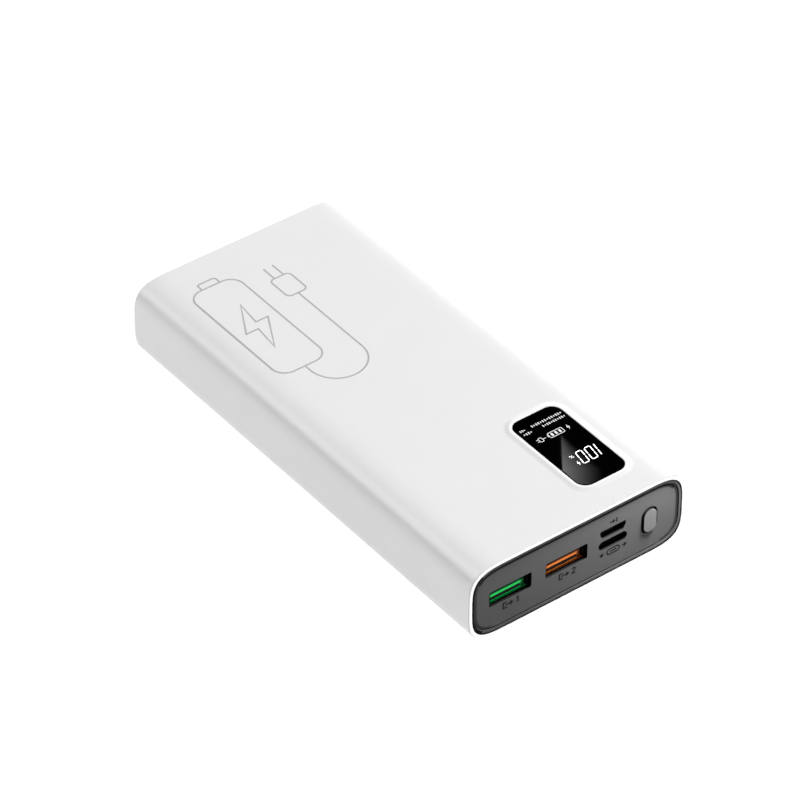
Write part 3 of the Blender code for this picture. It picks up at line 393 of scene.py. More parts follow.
def relief(tree, source, depth, strength=1.0, base=None):
    """Surface relief from a pattern, with a depth in millimetres."""
    bump = add_node(tree, "ShaderNodeBump", "Height", source, Strength=strength, Distance=depth * MM)
    if base is not None:
        tree.links.new(base, bump.inputs["Normal"])
    return bump.outputs["Normal"]


def finish(name, metallic=0.0, specular=0.5, coat=0.0, glow=0.0):
    """A new material; returns it with its node tree and its shader."""
    material = bpy.data.materials.new(name)
    material.use_nodes = True
    tree = material.node_tree
    shader = tree.nodes["Principled BSDF"]
    settings = {"Metallic": metallic, "Specular IOR Level": specular, "Emission Strength": glow}
    settings |= {"Coat Weight": coat, "Coat Roughness": 0.12}
    for socket, value in settings.items():
        shader.inputs[socket].default_value = value
    return material, tree, shader


def dress(made, colour, roughness, normal):
    """Link the patterns of a finish to its shader; returns the material."""
    material, tree, shader = made
    for socket, source in (("Base Color", colour), ("Roughness", roughness), ("Normal", normal)):
        tree.links.new(source, shader.inputs[socket])
    return material


def grey(level, blue=0.0):
    """A grey with a little extra blue."""
    return (level, level, level + blue)


def shades(colour, amount):
    """Two neighbours of a colour, a little darker and a little lighter."""
    dark = tuple(channel * (1 - amount) for channel in colour)
    light = tuple(min(channel * (1 + amount), 1.0) for channel in colour)
    return dark, light


def moulded(name, colour, roughness, texture, depth=0.004, mottle=0.012, specular=0.5):
    """Moulded plastic: faint mottle, fine texture and a gloss that varies a little."""
    made = finish(name, specular=specular)
    tree = made[1]
    fine = grain(tree, texture, detail=4.0)
    cover = tint(tree, grain(tree, 9.0, detail=2.0), *shades(colour, mottle))
    gloss = spread_value(tree, fine, roughness - 0.03, roughness + 0.03)
    return dress(made, cover, gloss, relief(tree, fine, depth))


def plated(name, colour, roughness):
    """Stamped and plated metal with fine rolling lines and a slight tarnish."""
    made = finish(name, metallic=1.0)
    tree = made[1]
    lines = grain(tree, 0.9, detail=5.0, roughness=0.65, stretch=(1.0, 12.0, 12.0))
    cover = tint(tree, grain(tree, 2.5), *shades(colour, 0.08))
    gloss = spread_value(tree, lines, roughness - 0.07, roughness + 0.09)
    return dress(made, cover, gloss, relief(tree, lines, 0.002))


def crinkled_foil(name, colour):
    """Laminated pouch foil with soft wrinkles and a fine embossed grain."""
    made = finish(name, metallic=0.85)
    tree = made[1]
    wrinkles = grain(tree, 7.0, detail=4.0, roughness=0.6, stretch=(1.0, 0.5, 1.0))
    embossed = relief(tree, cells(tree, 0.5), 0.01, base=relief(tree, wrinkles, 0.12))
    # Painted shade: the foil's colour follows its wrinkles and is darker in their hollows.
    cover = tint(tree, wrinkles, *shades(colour, 0.07))
    return dress(made, cover, spread_value(tree, wrinkles, 0.3, 0.46), embossed)


def solder_mask(name):
    """Green solder mask over copper areas, which show as lighter patches."""
    made = finish(name, coat=0.3)
    tree = made[1]
    copper = cells(tree, 2.2, feature="DISTANCE_TO_EDGE")
    cover = tint(tree, copper, (0.012, 0.10, 0.045), (0.03, 0.21, 0.09))
    return dress(made, cover, spread_value(tree, grain(tree, 1.2), 0.3, 0.42), relief(tree, copper, 0.02))


def porous(name, colour, size, depth, roughness):
    """Foam, tape or pressed powder: open grain with shaded hollows."""
    made = finish(name, specular=0.3)
    tree = made[1]
    pores = cells(tree, size)
    gloss = spread_value(tree, grain(tree, size * 3), roughness - 0.05, roughness)
    return dress(made, tint(tree, pores, *shades(colour, 0.35)), gloss, relief(tree, pores, depth))


def printed(name, colour, roughness=0.45, glow=0.0, specular=0.5):
    """Pad-printed ink with uneven cover; where it glows, a lit segment, or print given a painted glow."""
    made = finish(name, specular=specular, glow=glow)
    tree, shader = made[1:]
    cover = grain(tree, 0.35, detail=4.0)
    ink = tint(tree, cover, *shades(colour, 0.05))
    tree.links.new(ink, shader.inputs["Emission Color"])
    gloss = spread_value(tree, cover, roughness - 0.05, roughness + 0.05)
    return dress(made, ink, gloss, relief(tree, cover, 0.003))


def smoked_glass(name):
    """Polished smoked acrylic: nearly black, with a trace of haze in its gloss."""
    made = finish(name, specular=0.45)
    tree = made[1]
    haze = grain(tree, 6.0, detail=2.0)
    cover = tint(tree, haze, grey(0.0004), grey(0.0008, 0.0001))
    return dress(made, cover, spread_value(tree, haze, 0.01, 0.02), relief(tree, haze, 0.002, strength=0.2))


# Painted highlight: a brighter, glossier white for the window frame's crest and the rims of the sleeve.
WHITE_PAINTED_HIGHLIGHT = moulded("white_plastic_painted_highlight", grey(0.95, 0.005), 0.2, 0.5, 0.001, 0.004)
WHITE = moulded("white_plastic_satin", grey(0.79, 0.005), 0.34, 0.5, 0.0015, 0.006)
# Painted shade: a darker white for a thin line on the outer rounding of each rim.
WHITE_PAINTED_SHADE_LINE = moulded("white_plastic_painted_shade_line", grey(0.6, 0.005), 0.34, 0.5, 0.001, 0.004)
# Painted shadow: a near-black grey for the gap round the end plates, the holes, the tray's deepest shade,
# the button's sides and the groove in each USB-A nose.
GREY_PAINTED_SHADOW = moulded("grey_plastic_in_shadow", grey(0.006), 0.8, 0.3, specular=0.1)
# Painted half shadow: a dark grey for the softer shade on the tray.
GREY_PAINTED_HALF_SHADOW = moulded("grey_plastic_half_shadow", grey(0.026), 0.5, 0.3, specular=0.35)
# Painted shade: a dimmer grey, also matte, for the tray's upward faces along its bottom, where the plate
# light falls.
GREY_MATTE_PAINTED_SHADE = moulded("grey_plastic_matte_painted_shade", grey(0.03), 0.8, 0.3, specular=0.05)
GREY = moulded("grey_plastic_fine", grey(0.085, 0.0005), 0.42, 0.22, 0.005, 0.03)
BUTTON_GREY = moulded("button_plastic_satin", grey(0.16), 0.4, 0.25, 0.003)
BLACK = moulded("black_plastic_moulded", grey(0.018, 0.002), 0.5, 0.3, mottle=0.15)
GREEN = moulded("green_insulator", (0.0, 0.56, 0.09), 0.35, 0.3, 0.002, 0.05, specular=0.15)
GREEN_SHADED = moulded("green_insulator_shaded", (0.0, 0.09, 0.02), 0.5, 0.3, specular=0.2)
ORANGE = moulded("orange_insulator", (0.75, 0.19, 0.02), 0.35, 0.3, 0.002, 0.05, specular=0.15)
ORANGE_SHADED = moulded("orange_insulator_shaded", (0.13, 0.03, 0.004), 0.5, 0.3, specular=0.2)
GLASS = smoked_glass("smoked_window_polished")
# Plated steel with painted shade: darkened for the socket shells, in place of the dark that they reflect
# inside the sockets.
STEEL_PAINTED_DARK = plated("steel_with_painted_shade", grey(0.1, 0.005), 0.32)
STEEL = plated("bright_plated_steel", grey(0.55, 0.01), 0.3)
GOLD = plated("gold_plated_contact", (0.85, 0.62, 0.25), 0.25)
NICKEL = plated("nickel_strip_bare", (0.62, 0.60, 0.56), 0.34)
FOIL = crinkled_foil("pouch_foil", (0.58, 0.59, 0.60))
BOARD = solder_mask("board_solder_mask")
FERRITE = porous("pressed_ferrite", grey(0.06, 0.003), 0.25, 0.02, 0.75)
FOAM = porous("closed_cell_foam", grey(0.04), 0.7, 0.12, 0.95)
TAPE = porous("tissue_tape", (0.72, 0.70, 0.63), 0.4, 0.02, 0.75)
RED = moulded("red_silicone", (0.55, 0.015, 0.015), 0.48, 0.5)
BLACK_LEAD = moulded("black_silicone", grey(0.015), 0.48, 0.5)
INK_GREY = printed("grey_ink", grey(0.42, 0.005))
INK_DARK = printed("dark_ink", grey(0.006), 0.8, specular=0.15)
LIT = printed("lit_segments", grey(1.0), glow=1.0)
# White print on the window, with a faint painted glow.
PRINT_WHITE_PAINTED_GLOW = printed("white_print_with_painted_glow", grey(0.62), glow=0.45)


# ---------------- sleeve

PATCH_BEYOND = RING_WIDTH + 1.2
PATCH_LEFT = WINDOW_X - POCKET_HALF_X - PATCH_BEYOND
PATCH_FRONT = WINDOW_Y - POCKET_HALF_Y - PATCH_BEYOND
PATCH_REAR = WINDOW_Y + POCKET_HALF_Y + PATCH_BEYOND
PATCH_RUNS = 18
TOP_STATIONS = 9
WINDOW_ARC_STEPS = 14
WINDOW_RUNS = (10, 18)


def rim_profile(end, y):
    """Inset and depth of each loop round one end of the sleeve, from the outside to the bore."""
    rows = arc((RIM_ROUND, y - end * RIM_ROUND), RIM_ROUND, 180.0, 180.0 - 90.0 * end, 6)
    inner = (RIM_WALL - RIM_INNER_ROUND, y - end * RIM_INNER_ROUND)
    rows += arc(inner, RIM_INNER_ROUND, 90.0 * end, 0.0, 3)
    return rows + [(inset, y - end * REBATE_DEPTH) for inset in (RIM_WALL, WALL)]


def ring_height(beyond):
    """Rise of the display frame over the skin, by the distance from the window's edge."""
    along = min(max((beyond - RING_FLAT) / RING_RAMP, 0.0), 1.0)
    return RING_RISE * (0.5 + 0.5 * math.cos(math.pi * along))


def window_outline(beyond, runs=(1, 1)):
    """The window pocket's outline, moved outwards by a distance."""
    halves = (POCKET_HALF_X + beyond, POCKET_HALF_Y + beyond)
    return round_rectangle(*halves, WINDOW_ROUND + beyond, WINDOW_ARC_STEPS, (WINDOW_X, WINDOW_Y), runs)


def window_loop(beyond, height=None):
    """A loop round the window, on the skin and its frame unless a height is given."""
    outline = window_outline(beyond, WINDOW_RUNS)
    if height is not None:
        return [(x, y, height) for x, y in outline]
    return [(x, y, top_height(x) + ring_height(beyond)) for x, y in outline]


def beyond_window(x, y):
    """Distance of a place from the window's edge; negative inside it."""
    across = abs(x - WINDOW_X) - POCKET_HALF_X + WINDOW_ROUND
    along = abs(y - WINDOW_Y) - POCKET_HALF_Y + WINDOW_ROUND
    return math.hypot(max(across, 0.0), max(along, 0.0)) + min(max(across, along), 0.0) - WINDOW_ROUND


def outward(x, z):
    """Unit direction, in X and Z, from the body's axis out through its section at a place."""
    across = past_flat(x) / CORNER_WIDTH
    up = abs(z - MID_Z) / MID_Z
    turn = Vector((across ** (CORNER_POWER - 1) / CORNER_WIDTH, up ** (CORNER_POWER - 1) / MID_Z))
    turn.normalize()
    return Vector((math.copysign(turn.x, x), math.copysign(turn.y, z - MID_Z)))


def inset_at(x, z):
    """How far inside the body's section a place lies."""
    low, high = 0.0, MID_Z - 0.01
    for _ in range(24):
        inset = (low + high) / 2
        across = past_flat(x) / (CORNER_WIDTH - inset)
        up = abs(z - MID_Z) / (MID_Z - inset)
        outside = across ** CORNER_POWER + up ** CORNER_POWER > 1.0
        low, high = (low, inset) if outside else (inset, high)
    return (low + high) / 2


def paint_sleeve_light_and_shade(sleeve):
    """Painted light on the sleeve: a painted highlight in brighter white on the frame's crest and on the
    face of both rims, a painted shade line in darker white on the rims' outer rounding, and painted shadow
    on the inner wall in the dark gap round the end plates.
    """
    edge, painted_shade_line, gap = add_finishes(sleeve, WHITE_PAINTED_HIGHLIGHT, WHITE_PAINTED_SHADE_LINE, GREY_PAINTED_SHADOW)
    for face in sleeve.data.polygons:
        x, y, z = (value / MM for value in face.center)
        facing = outward(x, z).dot((face.normal.x, face.normal.z))
        to_end = REAR - abs(y)
        # Painted highlight on the frame's crest.
        if z > BODY_TOP + 0.1 and beyond_window(x, y) < RING_FLAT + 0.12:
            face.material_index = edge
        # Painted shadow on the inner wall round the end plates.
        elif to_end < REBATE_DEPTH - 0.1 and facing < -0.8:
            face.material_index = gap
        # Painted highlight on the rim's face, then a painted shade line on its outer rounding.
        elif to_end < 0.25 * RIM_ROUND:
            face.material_index = edge
        elif to_end < 0.85 * RIM_ROUND:
            face.material_index = painted_shade_line


def make_sleeve():
    """White tube: skin, rims, bore, and the raised frame round the window pocket."""
    support = RIM_ROUND + 0.35
    outer_rows = [FRONT + RIM_ROUND, FRONT + support]
    outer_rows += [y for (y,) in spread((PATCH_FRONT,), (PATCH_REAR,), PATCH_RUNS)]
    outer_rows += [PATCH_REAR, 0.0, REAR / 2, REAR - support, REAR - RIM_ROUND]
    rows = [(0.0, y) for y in outer_rows]
    rows += rim_profile(1, REAR)[1:] + rim_profile(-1, FRONT)[:0:-1]

    form = bmesh.new()
    rings = [[form.verts.new((x, y, z)) for x, z in section(inset)] for inset, y in rows]
    columns = section(0.0)
    right = WINDOW_X + POCKET_HALF_X + RING_WIDTH + 0.3
    left_column = SECTION_STEPS + TOP_STATIONS
    right_column = max(index for index in range(SECTION_STEPS + 1) if columns[index][0] >= right)
    first_row = outer_rows.index(PATCH_FRONT)
    last_row = outer_rows.index(PATCH_REAR)
    for row, ring in enumerate(rings):
        following = rings[(row + 1) % len(rings)]
        for column in range(len(ring)):
            if first_row <= row < last_row and right_column <= column < left_column:
                continue
            after = (column + 1) % len(ring)
            form.faces.new((ring[column], ring[after], following[after], following[column]))

    patch_edge = [rings[row][right_column] for row in range(first_row, last_row)]
    patch_edge += [rings[last_row][column] for column in range(right_column, left_column)]
    patch_edge += [rings[row][left_column] for row in range(last_row, first_row, -1)]
    patch_edge += [rings[first_row][column] for column in range(left_column, right_column, -1)]
    ramp = [RING_FLAT + RING_RAMP * step / 10 for step in range(10, -1, -1)]
    loops = [window_loop(beyond) for beyond in ramp + [RING_FLAT - 0.15, 0.3, 0.12]]
    edge_top = top_height(WINDOW_X) + RING_RISE
    edge = ((0.05, edge_top - 0.02), (0.015, edge_top - 0.06), (0.0, edge_top - 0.12))
    loops += [window_loop(*row) for row in (*edge, (0.0, POCKET_FLOOR))]
    frame_rings = loft(form, loops, cap=False)
    form.faces.new(frame_rings[-1])
    stitch(form, patch_edge, frame_rings[0], (WINDOW_X, WINDOW_Y))

    sleeve = new_piece("sleeve_body", form, WHITE)
    cutter = bmesh.new()
    left, right, front, rear = DIGIT_OPENING
    add_block(cutter, (left, front, BODY_TOP - 4.5), (right, rear, POCKET_FLOOR + 0.5))
    boolean(sleeve, "DIFFERENCE", cutter)
    paint_sleeve_light_and_shade(sleeve)
    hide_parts("shell_sleeve")


# ---------------- end plates

def plate_loops(rows):
    """Loops of an end plate, from rows of inset and depth."""
    return [facing_front(section(inset), y) for inset, y in rows]


def join_tabs(plate, end, inner_y):
    """Join the snap tabs, each with a barb at its tip, to a plate."""
    tip = inner_y - end * TAB_LENGTH
    outer = MID_Z - WALL - TAB_GAP
    arm = ((tip, inner_y + end * 1.5), (outer, outer - TAB_THICKNESS))
    barb = ((tip, tip + end), (outer - 0.4, outer + 0.55))
    for left in (-TAB_X - TAB_WIDTH / 2, TAB_X - TAB_WIDTH / 2):
        for flip in (-1, 1):
            for depths, heights in (arm, barb):
                low_y, high_y = sorted(depths)
                low_z, high_z = sorted(MID_Z + flip * height for height in heights)
                join_block(plate, (left, low_y, low_z), (left + TAB_WIDTH, high_y, high_z))


def add_hole(form, outline, relief_width):
    """A cutter for one hole: rounded mouth, thin lip, and room behind the lip."""
    rows = [(HOLE_ROUND, FIELD - 1.0)]
    rows += arc((HOLE_ROUND, FIELD + HOLE_ROUND), HOLE_ROUND, 270.0, 180.0, 4)
    lip_back = FIELD + LIP_THICKNESS
    rows += [(0.0, lip_back), (relief_width, lip_back + 0.05), (relief_width, FLOOR_BACK + 1.0)]
    loft(form, grown(outline, rows))


def micro_outline(half_x, half_z, taper, radius):
    """The tapered outline of a micro socket, wide side up."""
    shoulder = 0.1 * half_z
    corners = [(half_x, half_z), (-half_x, half_z), (-half_x, shoulder)]
    corners += [(-half_x + taper, -half_z), (half_x - taper, -half_z), (half_x, shoulder)]
    return round_polygon(corners, radius)


LIP_SHADE = 1.5
LIP_END = 1.8
FIELD_SHADES = (2.3, 2.72, 3.1)


def shade_tray(plate):
    """Painted shade on the tray: near-black and dark grey where the lip overhangs the floor, in the gap
    round the lip and down the holes, and a dimmer matte grey on the upward faces along the bottom.
    """
    plain = 0
    painted_shadow, painted_half_shadow, matte_painted_shade = add_finishes(plate, GREY_PAINTED_SHADOW, GREY_PAINTED_HALF_SHADOW, GREY_MATTE_PAINTED_SHADE)
    for face in plate.data.polygons:
        x, y, z = (value / MM for value in face.center)
        inset = inset_at(x, z)
        right, up = outward(x, z)
        index = plain
        if inset > FIELD_SHADES[2] or y > FIELD + 0.01:
            if inset > FIELD_SHADES[2] and FIELD + 0.005 < y < FLOOR_BACK:
                index = painted_shadow
        elif inset < LIP_END + 0.02:
            low_edge = up < -0.5 and inset < PLATE_INSET + 0.1
            index = painted_shadow if right < -0.5 or low_edge else plain
        elif inset < FIELD_SHADES[0]:
            index = matte_painted_shade if up < -0.2 else painted_shadow if right > 0.5 and y < FIELD - 0.02 else painted_half_shadow
        elif inset < FIELD_SHADES[1]:
            index = painted_shadow if up > 0.5 else painted_half_shadow if max(up, abs(right)) > 0.2 else plain
        elif up > 0.5:
            index = painted_half_shadow
        face.material_index = index


def make_socket_plate():
    """Grey tray-shaped plate with the holes of four sockets and the button."""
    skirt = PLATE_FRONT + PLATE_DEPTH
    rows = [(PLATE_INSET + 1.2, FLOOR_BACK), (PLATE_INSET + 1.2, skirt)]
    rows += [(PLATE_INSET, skirt), (PLATE_INSET, PLATE_FACE + 0.5)]
    rows += arc((PLATE_INSET + 0.1, PLATE_FACE + 0.1), 0.1, 180.0, 270.0, 4)
    rows.append((LIP_SHADE, PLATE_FACE))
    rows += arc((LIP_END, PLATE_FACE + 0.08), 0.08, 270.0, 360.0, 4)
    rows += arc((LIP_END + 0.22, FIELD - 0.12), 0.12, 180.0, 90.0, 5)
    rows += [(inset, FIELD) for inset in FIELD_SHADES]
    form = bmesh.new()
    loft(form, plate_loops(rows))
    plate = new_piece("socket_plate", form, GREY)

    usb_a = round_rectangle(6.5, 2.3, 0.4, 6)
    holes = (
        ("usb_a_shell_1", usb_a, 0.0, 0.6),
        ("usb_a_shell_2", usb_a, 0.0, 0.6),
        ("type_c_shell", stadium(4.45, 1.3), 0.0, 0.4),
        ("micro_usb_shell", micro_outline(4.0, 1.2, 0.8, 0.3), MICRO_DROP, 0.4),
        ("power_button", stadium(2.5, 4.04), BUTTON_DROP, 0.0),
    )
    cutter = bmesh.new()
    for node, outline, drop, relief_width in holes:
        add_hole(cutter, moved(outline, middle(node, 0), middle(node, 2) - drop), relief_width)
    boolean(plate, "DIFFERENCE", cutter)
    join_tabs(plate, -1, skirt)
    shade_tray(plate)
    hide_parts("front_plate")


def make_end_cap():
    """White cap of the far end, with a softly rounded edge."""
    outer = box_mm("rear_cap")[1].y
    skirt = outer - PLATE_DEPTH
    rows = [(PLATE_INSET + 1.2, REAR - 1.7), (PLATE_INSET + 1.2, skirt)]
    rows += [(PLATE_INSET, skirt), (PLATE_INSET, outer - 0.7)]
    rows += arc((PLATE_INSET + 0.3, outer - 0.3), 0.3, 180.0, 90.0, 6)
    rows.append((PLATE_INSET + 0.7, outer))
    form = bmesh.new()
    loft(form, plate_loops(rows))
    cap = new_piece("end_cap", form, WHITE)
    join_tabs(cap, 1, skirt)
    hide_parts("rear_cap")


# ---------------- button and window

def make_button_cap():
    """Press button: flat cap with round ends, flange and stem, with painted shadow on all but its front."""
    low, high = box_mm("power_button")
    x, z = middle("power_button", 0), middle("power_button", 2)
    edge = 0.15
    rows = [(0.0, low.y + 2.2)] + arc((-edge, low.y + edge), edge, 0.0, -90.0, 6)
    rows.append((-edge - 0.3, low.y))
    form = bmesh.new()
    loft(form, grown(moved(stadium(2.05, 3.62), x, z - BUTTON_DROP), rows))
    button = new_piece("button_cap", form, BUTTON_GREY, ON_BUTTON)
    flange = moved(stadium(3.15, 4.9), x, z)
    flange_front = FLOOR_BACK + 0.3
    form = bmesh.new()
    loft(form, [facing_front(flange, y) for y in (flange_front, flange_front + 0.7)])
    boolean(button, "UNION", form)
    stem_z = middle("switch_plunger", 2)
    join_block(button, (x - 1.2, flange_front + 0.5, stem_z - 1.2), (x + 1.2, high.y, stem_z + 1.2))
    # Painted shadow: every face of the button but its front is near-black grey.
    (side,) = add_finishes(button, GREY_PAINTED_SHADOW)
    for face in button.data.polygons:
        if face.normal.y > -0.8:
            face.material_index = side
    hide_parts("power_button")


def make_glass():
    """Smoked window with a fine rounded edge."""
    edge = 0.12
    rows = [(0.0, WINDOW_LOW.z)] + arc((-edge, GLASS_TOP - edge), edge, 0.0, 90.0, 4)
    rows.append((-edge - 0.3, GLASS_TOP))
    outline = window_outline(-0.05)
    form = bmesh.new()
    loft(form, [[(x, y, z) for x, y in grow(outline, out)] for out, z in rows])
    glass = new_piece("display_glass", form, GLASS)
    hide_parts("display_window")


# ---------------- printed and lit marks

def on_glass(u, v, height):
    """A place on the window, read from the far end of the body."""
    return (-u, -v, GLASS_TOP - 0.01 + height)


def on_top(u, v, height):
    """A place on the flat top."""
    return (u, v, BODY_TOP - 0.01 + height)


def on_plate(u, v, height):
    """A place on the socket plate, read from the front."""
    return (u, FIELD + 0.01 - height, v)


def add_shape(form, outline, put):
    """A thin flat shape from its outline."""
    loft(form, [[put(u, v, height) for u, v in outline] for height in (0.0, PRINT_THICKNESS)])


def add_line(form, points, width, put, closed=False):
    """A thin line of even width along a row of points."""
    count = len(points)
    last = count if closed else count - 1
    runs = directions(points)
    if not closed:
        runs[-1] = runs[-2]
    sides = ([], [])
    for index, point in enumerate(points):
        run_out = runs[index]
        run_in = runs[index - 1] if index > 0 or closed else run_out
        bisector = (run_in + run_out).normalized()
        normal = Vector((-bisector.y, bisector.x))
        reach = normal * width / 2 / max(normal.dot(Vector((-run_in.y, run_in.x))), 0.35)
        sides[0].append(Vector(point) + reach)
        sides[1].append(Vector(point) - reach)
    rows = []
    for height in (0.0, PRINT_THICKNESS):
        rows += [[form.verts.new(put(u, v, height)) for u, v in side] for side in sides]
    low_left, low_right, high_left, high_right = rows
    bands = ((high_left, high_right), (high_right, low_right), (low_right, low_left), (low_left, high_left))
    for first, second in bands:
        for index in range(last):
            after = (index + 1) % count
            form.faces.new((first[index], first[after], second[after], second[index]))
    if not closed:
        for index in (0, -1):
            form.faces.new((high_left[index], high_right[index], low_right[index], low_left[index]))


def moved(points, u, v, scale=1.0):
    """Points scaled about the origin and moved."""
    return [(u + scale * pu, v + scale * pv) for pu, pv in points]


BOLT = [(0.16, 1.0), (-0.46, -0.12), (-0.06, -0.12), (-0.16, -1.0), (0.46, 0.16), (0.06, 0.16)]


def segment(start, end, width, gap):
    """A display segment with pointed ends, a gap short of both."""
    along = (Vector(end) - Vector(start)).normalized()
    first = Vector(start) + along * gap
    last = Vector(end) - along * gap
    side = Vector((-along.y, along.x)) * width / 2
    tip = along * width / 2
    return [first, first + tip + side, last - tip + side, last, last - tip - side, first + tip - side]


def make_digits():
    """Lit charge reading: three slanted seven-segment figures, a percent sign and a bolt."""
    form = bmesh.new()
    width = 0.29
    gap = 0.09
    half_u = 0.88
    half_v = 2.28
    v_middle = 52.55
    slant = 0.167
    corners = [(-half_u, half_v), (half_u, half_v), (half_u, 0.0)]
    corners += [(-u, -v) for u, v in corners]
    nought = list(zip(corners, corners[1:] + corners[:1]))
    one = nought[1:3]
    for u, lit in ((-21.45, one), (-18.5, nought), (-15.75, nought)):
        for start, end in lit:
            leaned = [(pu + pv * slant, pv) for pu, pv in segment(start, end, width, gap)]
            add_shape(form, moved(leaned, u, v_middle), on_glass)
    for centre in ((-13.85, 51.3), (-13.25, 50.7)):
        add_line(form, arc(centre, 0.15, 0.0, 330.0, 10), 0.11, on_glass, closed=True)
    add_line(form, [(-13.9, 50.6), (-13.2, 51.4)], 0.13, on_glass)
    add_shape(form, moved(BOLT, -13.5, 53.9, 0.95), on_glass)
    digits = new_piece("charge_digits", form, LIT)


def make_status_marks():
    """White signs printed on the window, with a faint painted glow: a bolt, a battery, a plug, and two rows
    of level ticks.
    """
    form = bmesh.new()
    width = 0.2
    sign_v = 41.3
    add_shape(form, moved(BOLT, -20.2, sign_v, 1.05), on_glass)
    u, half_u, half_v = -16.4, 2.2, 0.95
    add_line(form, round_rectangle(half_u, half_v, 0.3, 4, (u, sign_v)), width, on_glass, closed=True)
    terminal = [(half_u + 0.3, -0.4 * half_v), (half_u + 0.3, 0.4 * half_v)]
    add_line(form, moved(terminal, u, sign_v), width * 1.4, on_glass)
    pitch = 2 * (half_u - 0.35) / 3
    bar = round_rectangle(pitch * 0.24, half_v - 0.38, 0.06, 2)
    for index in (-1, 0, 1):
        add_shape(form, moved(bar, u + pitch * index, sign_v), on_glass)
    u = -11.6
    add_line(form, round_rectangle(0.5, 0.75, 0.25, 4, (u, sign_v)), width, on_glass, closed=True)
    for lead in ([(-1.5, 0.0), (-0.55, 0.0)], [(0.6, -0.38), (1.2, -0.38)], [(0.6, 0.38), (1.2, 0.38)]):
        add_line(form, moved(lead, u, sign_v), width, on_glass)
    rows = [(35.85, -22.4, -12.7, 14), (35.85, -10.9, -9.1, 3)]
    rows += [(37.4, -22.4, -15.1, 11), (37.4, -11.9, -9.1, 4)]
    for v, start, end, count in rows:
        pitch = (end - start) / count
        for index in range(count):
            tick = round_rectangle(pitch * 0.24, 0.4 if index % 3 else 0.22, 0.06, 2)
            add_shape(form, moved(tick, start + pitch * (index + 0.5), v), on_glass)
    marks = new_piece("status_marks", form, PRINT_WHITE_PAINTED_GLOW)


def make_top_line():
    """Thin line drawing on the top: a battery with a bolt, and a lead that runs to a plug."""
    form = bmesh.new()
    width = 0.48
    battery_u, battery_v = -17.6, 38.5
    half_v = 20.5
    battery = round_rectangle(7.4, half_v, 4.0, 12, (battery_u, battery_v))
    add_line(form, battery, width, on_top, closed=True)
    nub = [(-2.8, 0.24), (-2.8, 1.6)] + arc((-2.0, 1.6), 0.8, 180.0, 90.0, 5)[1:]
    nub += [(-u, v) for u, v in reversed(nub)]
    add_line(form, moved(nub, battery_u, battery_v + half_v), width, on_top)
    add_line(form, moved(BOLT, battery_u, battery_v, 9.5), width, on_top, closed=True)
    bend = 8.2
    plug_u = battery_u + 2 * bend
    lead = [(battery_u, battery_v - half_v - 0.24)]
    lead += arc((battery_u + bend, 15.8), bend, 180.0, 360.0, 36) + [(plug_u, 43.0)]
    add_line(form, lead, width, on_top)
    plug = round_rectangle(3.1, 4.2, 1.4, 8, (plug_u, 47.44))
    add_line(form, plug, width, on_top, closed=True)
    for side in (-1.45, 1.45):
        add_line(form, [(plug_u + side, 51.88), (plug_u + side, 56.6)], width, on_top)
    line = new_piece("top_line_print", form, INK_GREY)


FIGURE_ONE = [(-0.35, 0.55), (0.05, 0.85), (0.05, -0.9)]
FIGURE_TWO = arc((0.0, 0.42), 0.48, 165.0, -35.0, 10) + [(-0.5, -0.86), (0.58, -0.86)]


def make_socket_signs():
    """Dark signs on the plate: way out with a figure, way in, and a slot with two arrows."""
    form = bmesh.new()
    width = 0.36
    lines = []
    arrowheads = []
    for figure, u, v in ((FIGURE_ONE, -20.8, MID_Z - 4.1), (FIGURE_TWO, -3.3, MID_Z - 4.15)):
        lines.append(moved([(-1.1, 0.85), (-2.2, 0.85), (-2.2, -0.85), (-1.1, -0.85)], u, v))
        lines.append(moved([(-1.5, 0.0), (0.1, 0.0)], u, v))
        lines.append(moved(figure, u + 2.3, v))
        arrowheads.append(moved([(1.0, 0.0), (0.0, 0.75), (0.0, -0.75)], u, v))
    u, v = 11.25, MID_Z + 5.4
    lines.append(moved([(-1.1, 0.0), (0.0, 0.0)], u, v))
    lines.append(moved([(1.1, 0.7), (1.1, -0.7)], u, v))
    arrowheads.append(moved([(0.75, 0.0), (-0.15, 0.62), (-0.15, -0.62)], u, v))
    u, v = 11.5, MID_Z - 4.1
    add_line(form, moved(stadium(1.95, 0.85, 8), u, v), width, on_plate, closed=True)
    lines.append(moved([(-0.95, 0.0), (0.95, 0.0)], u, v))
    for side in (-1, 1):
        lines.append(moved([(side * 3.0, 0.0), (side * 3.4, 0.0)], u, v))
        head = [(side * 4.4, 0.0), (side * 3.4, 0.75), (side * 3.4, -0.75)]
        arrowheads.append(moved(head[::side], u, v))
    for line in lines:
        add_line(form, line, width, on_plate)
    for head in arrowheads:
        add_shape(form, head, on_plate)
    signs = new_piece("socket_signs", form, INK_DARK)


# ---------------- sockets

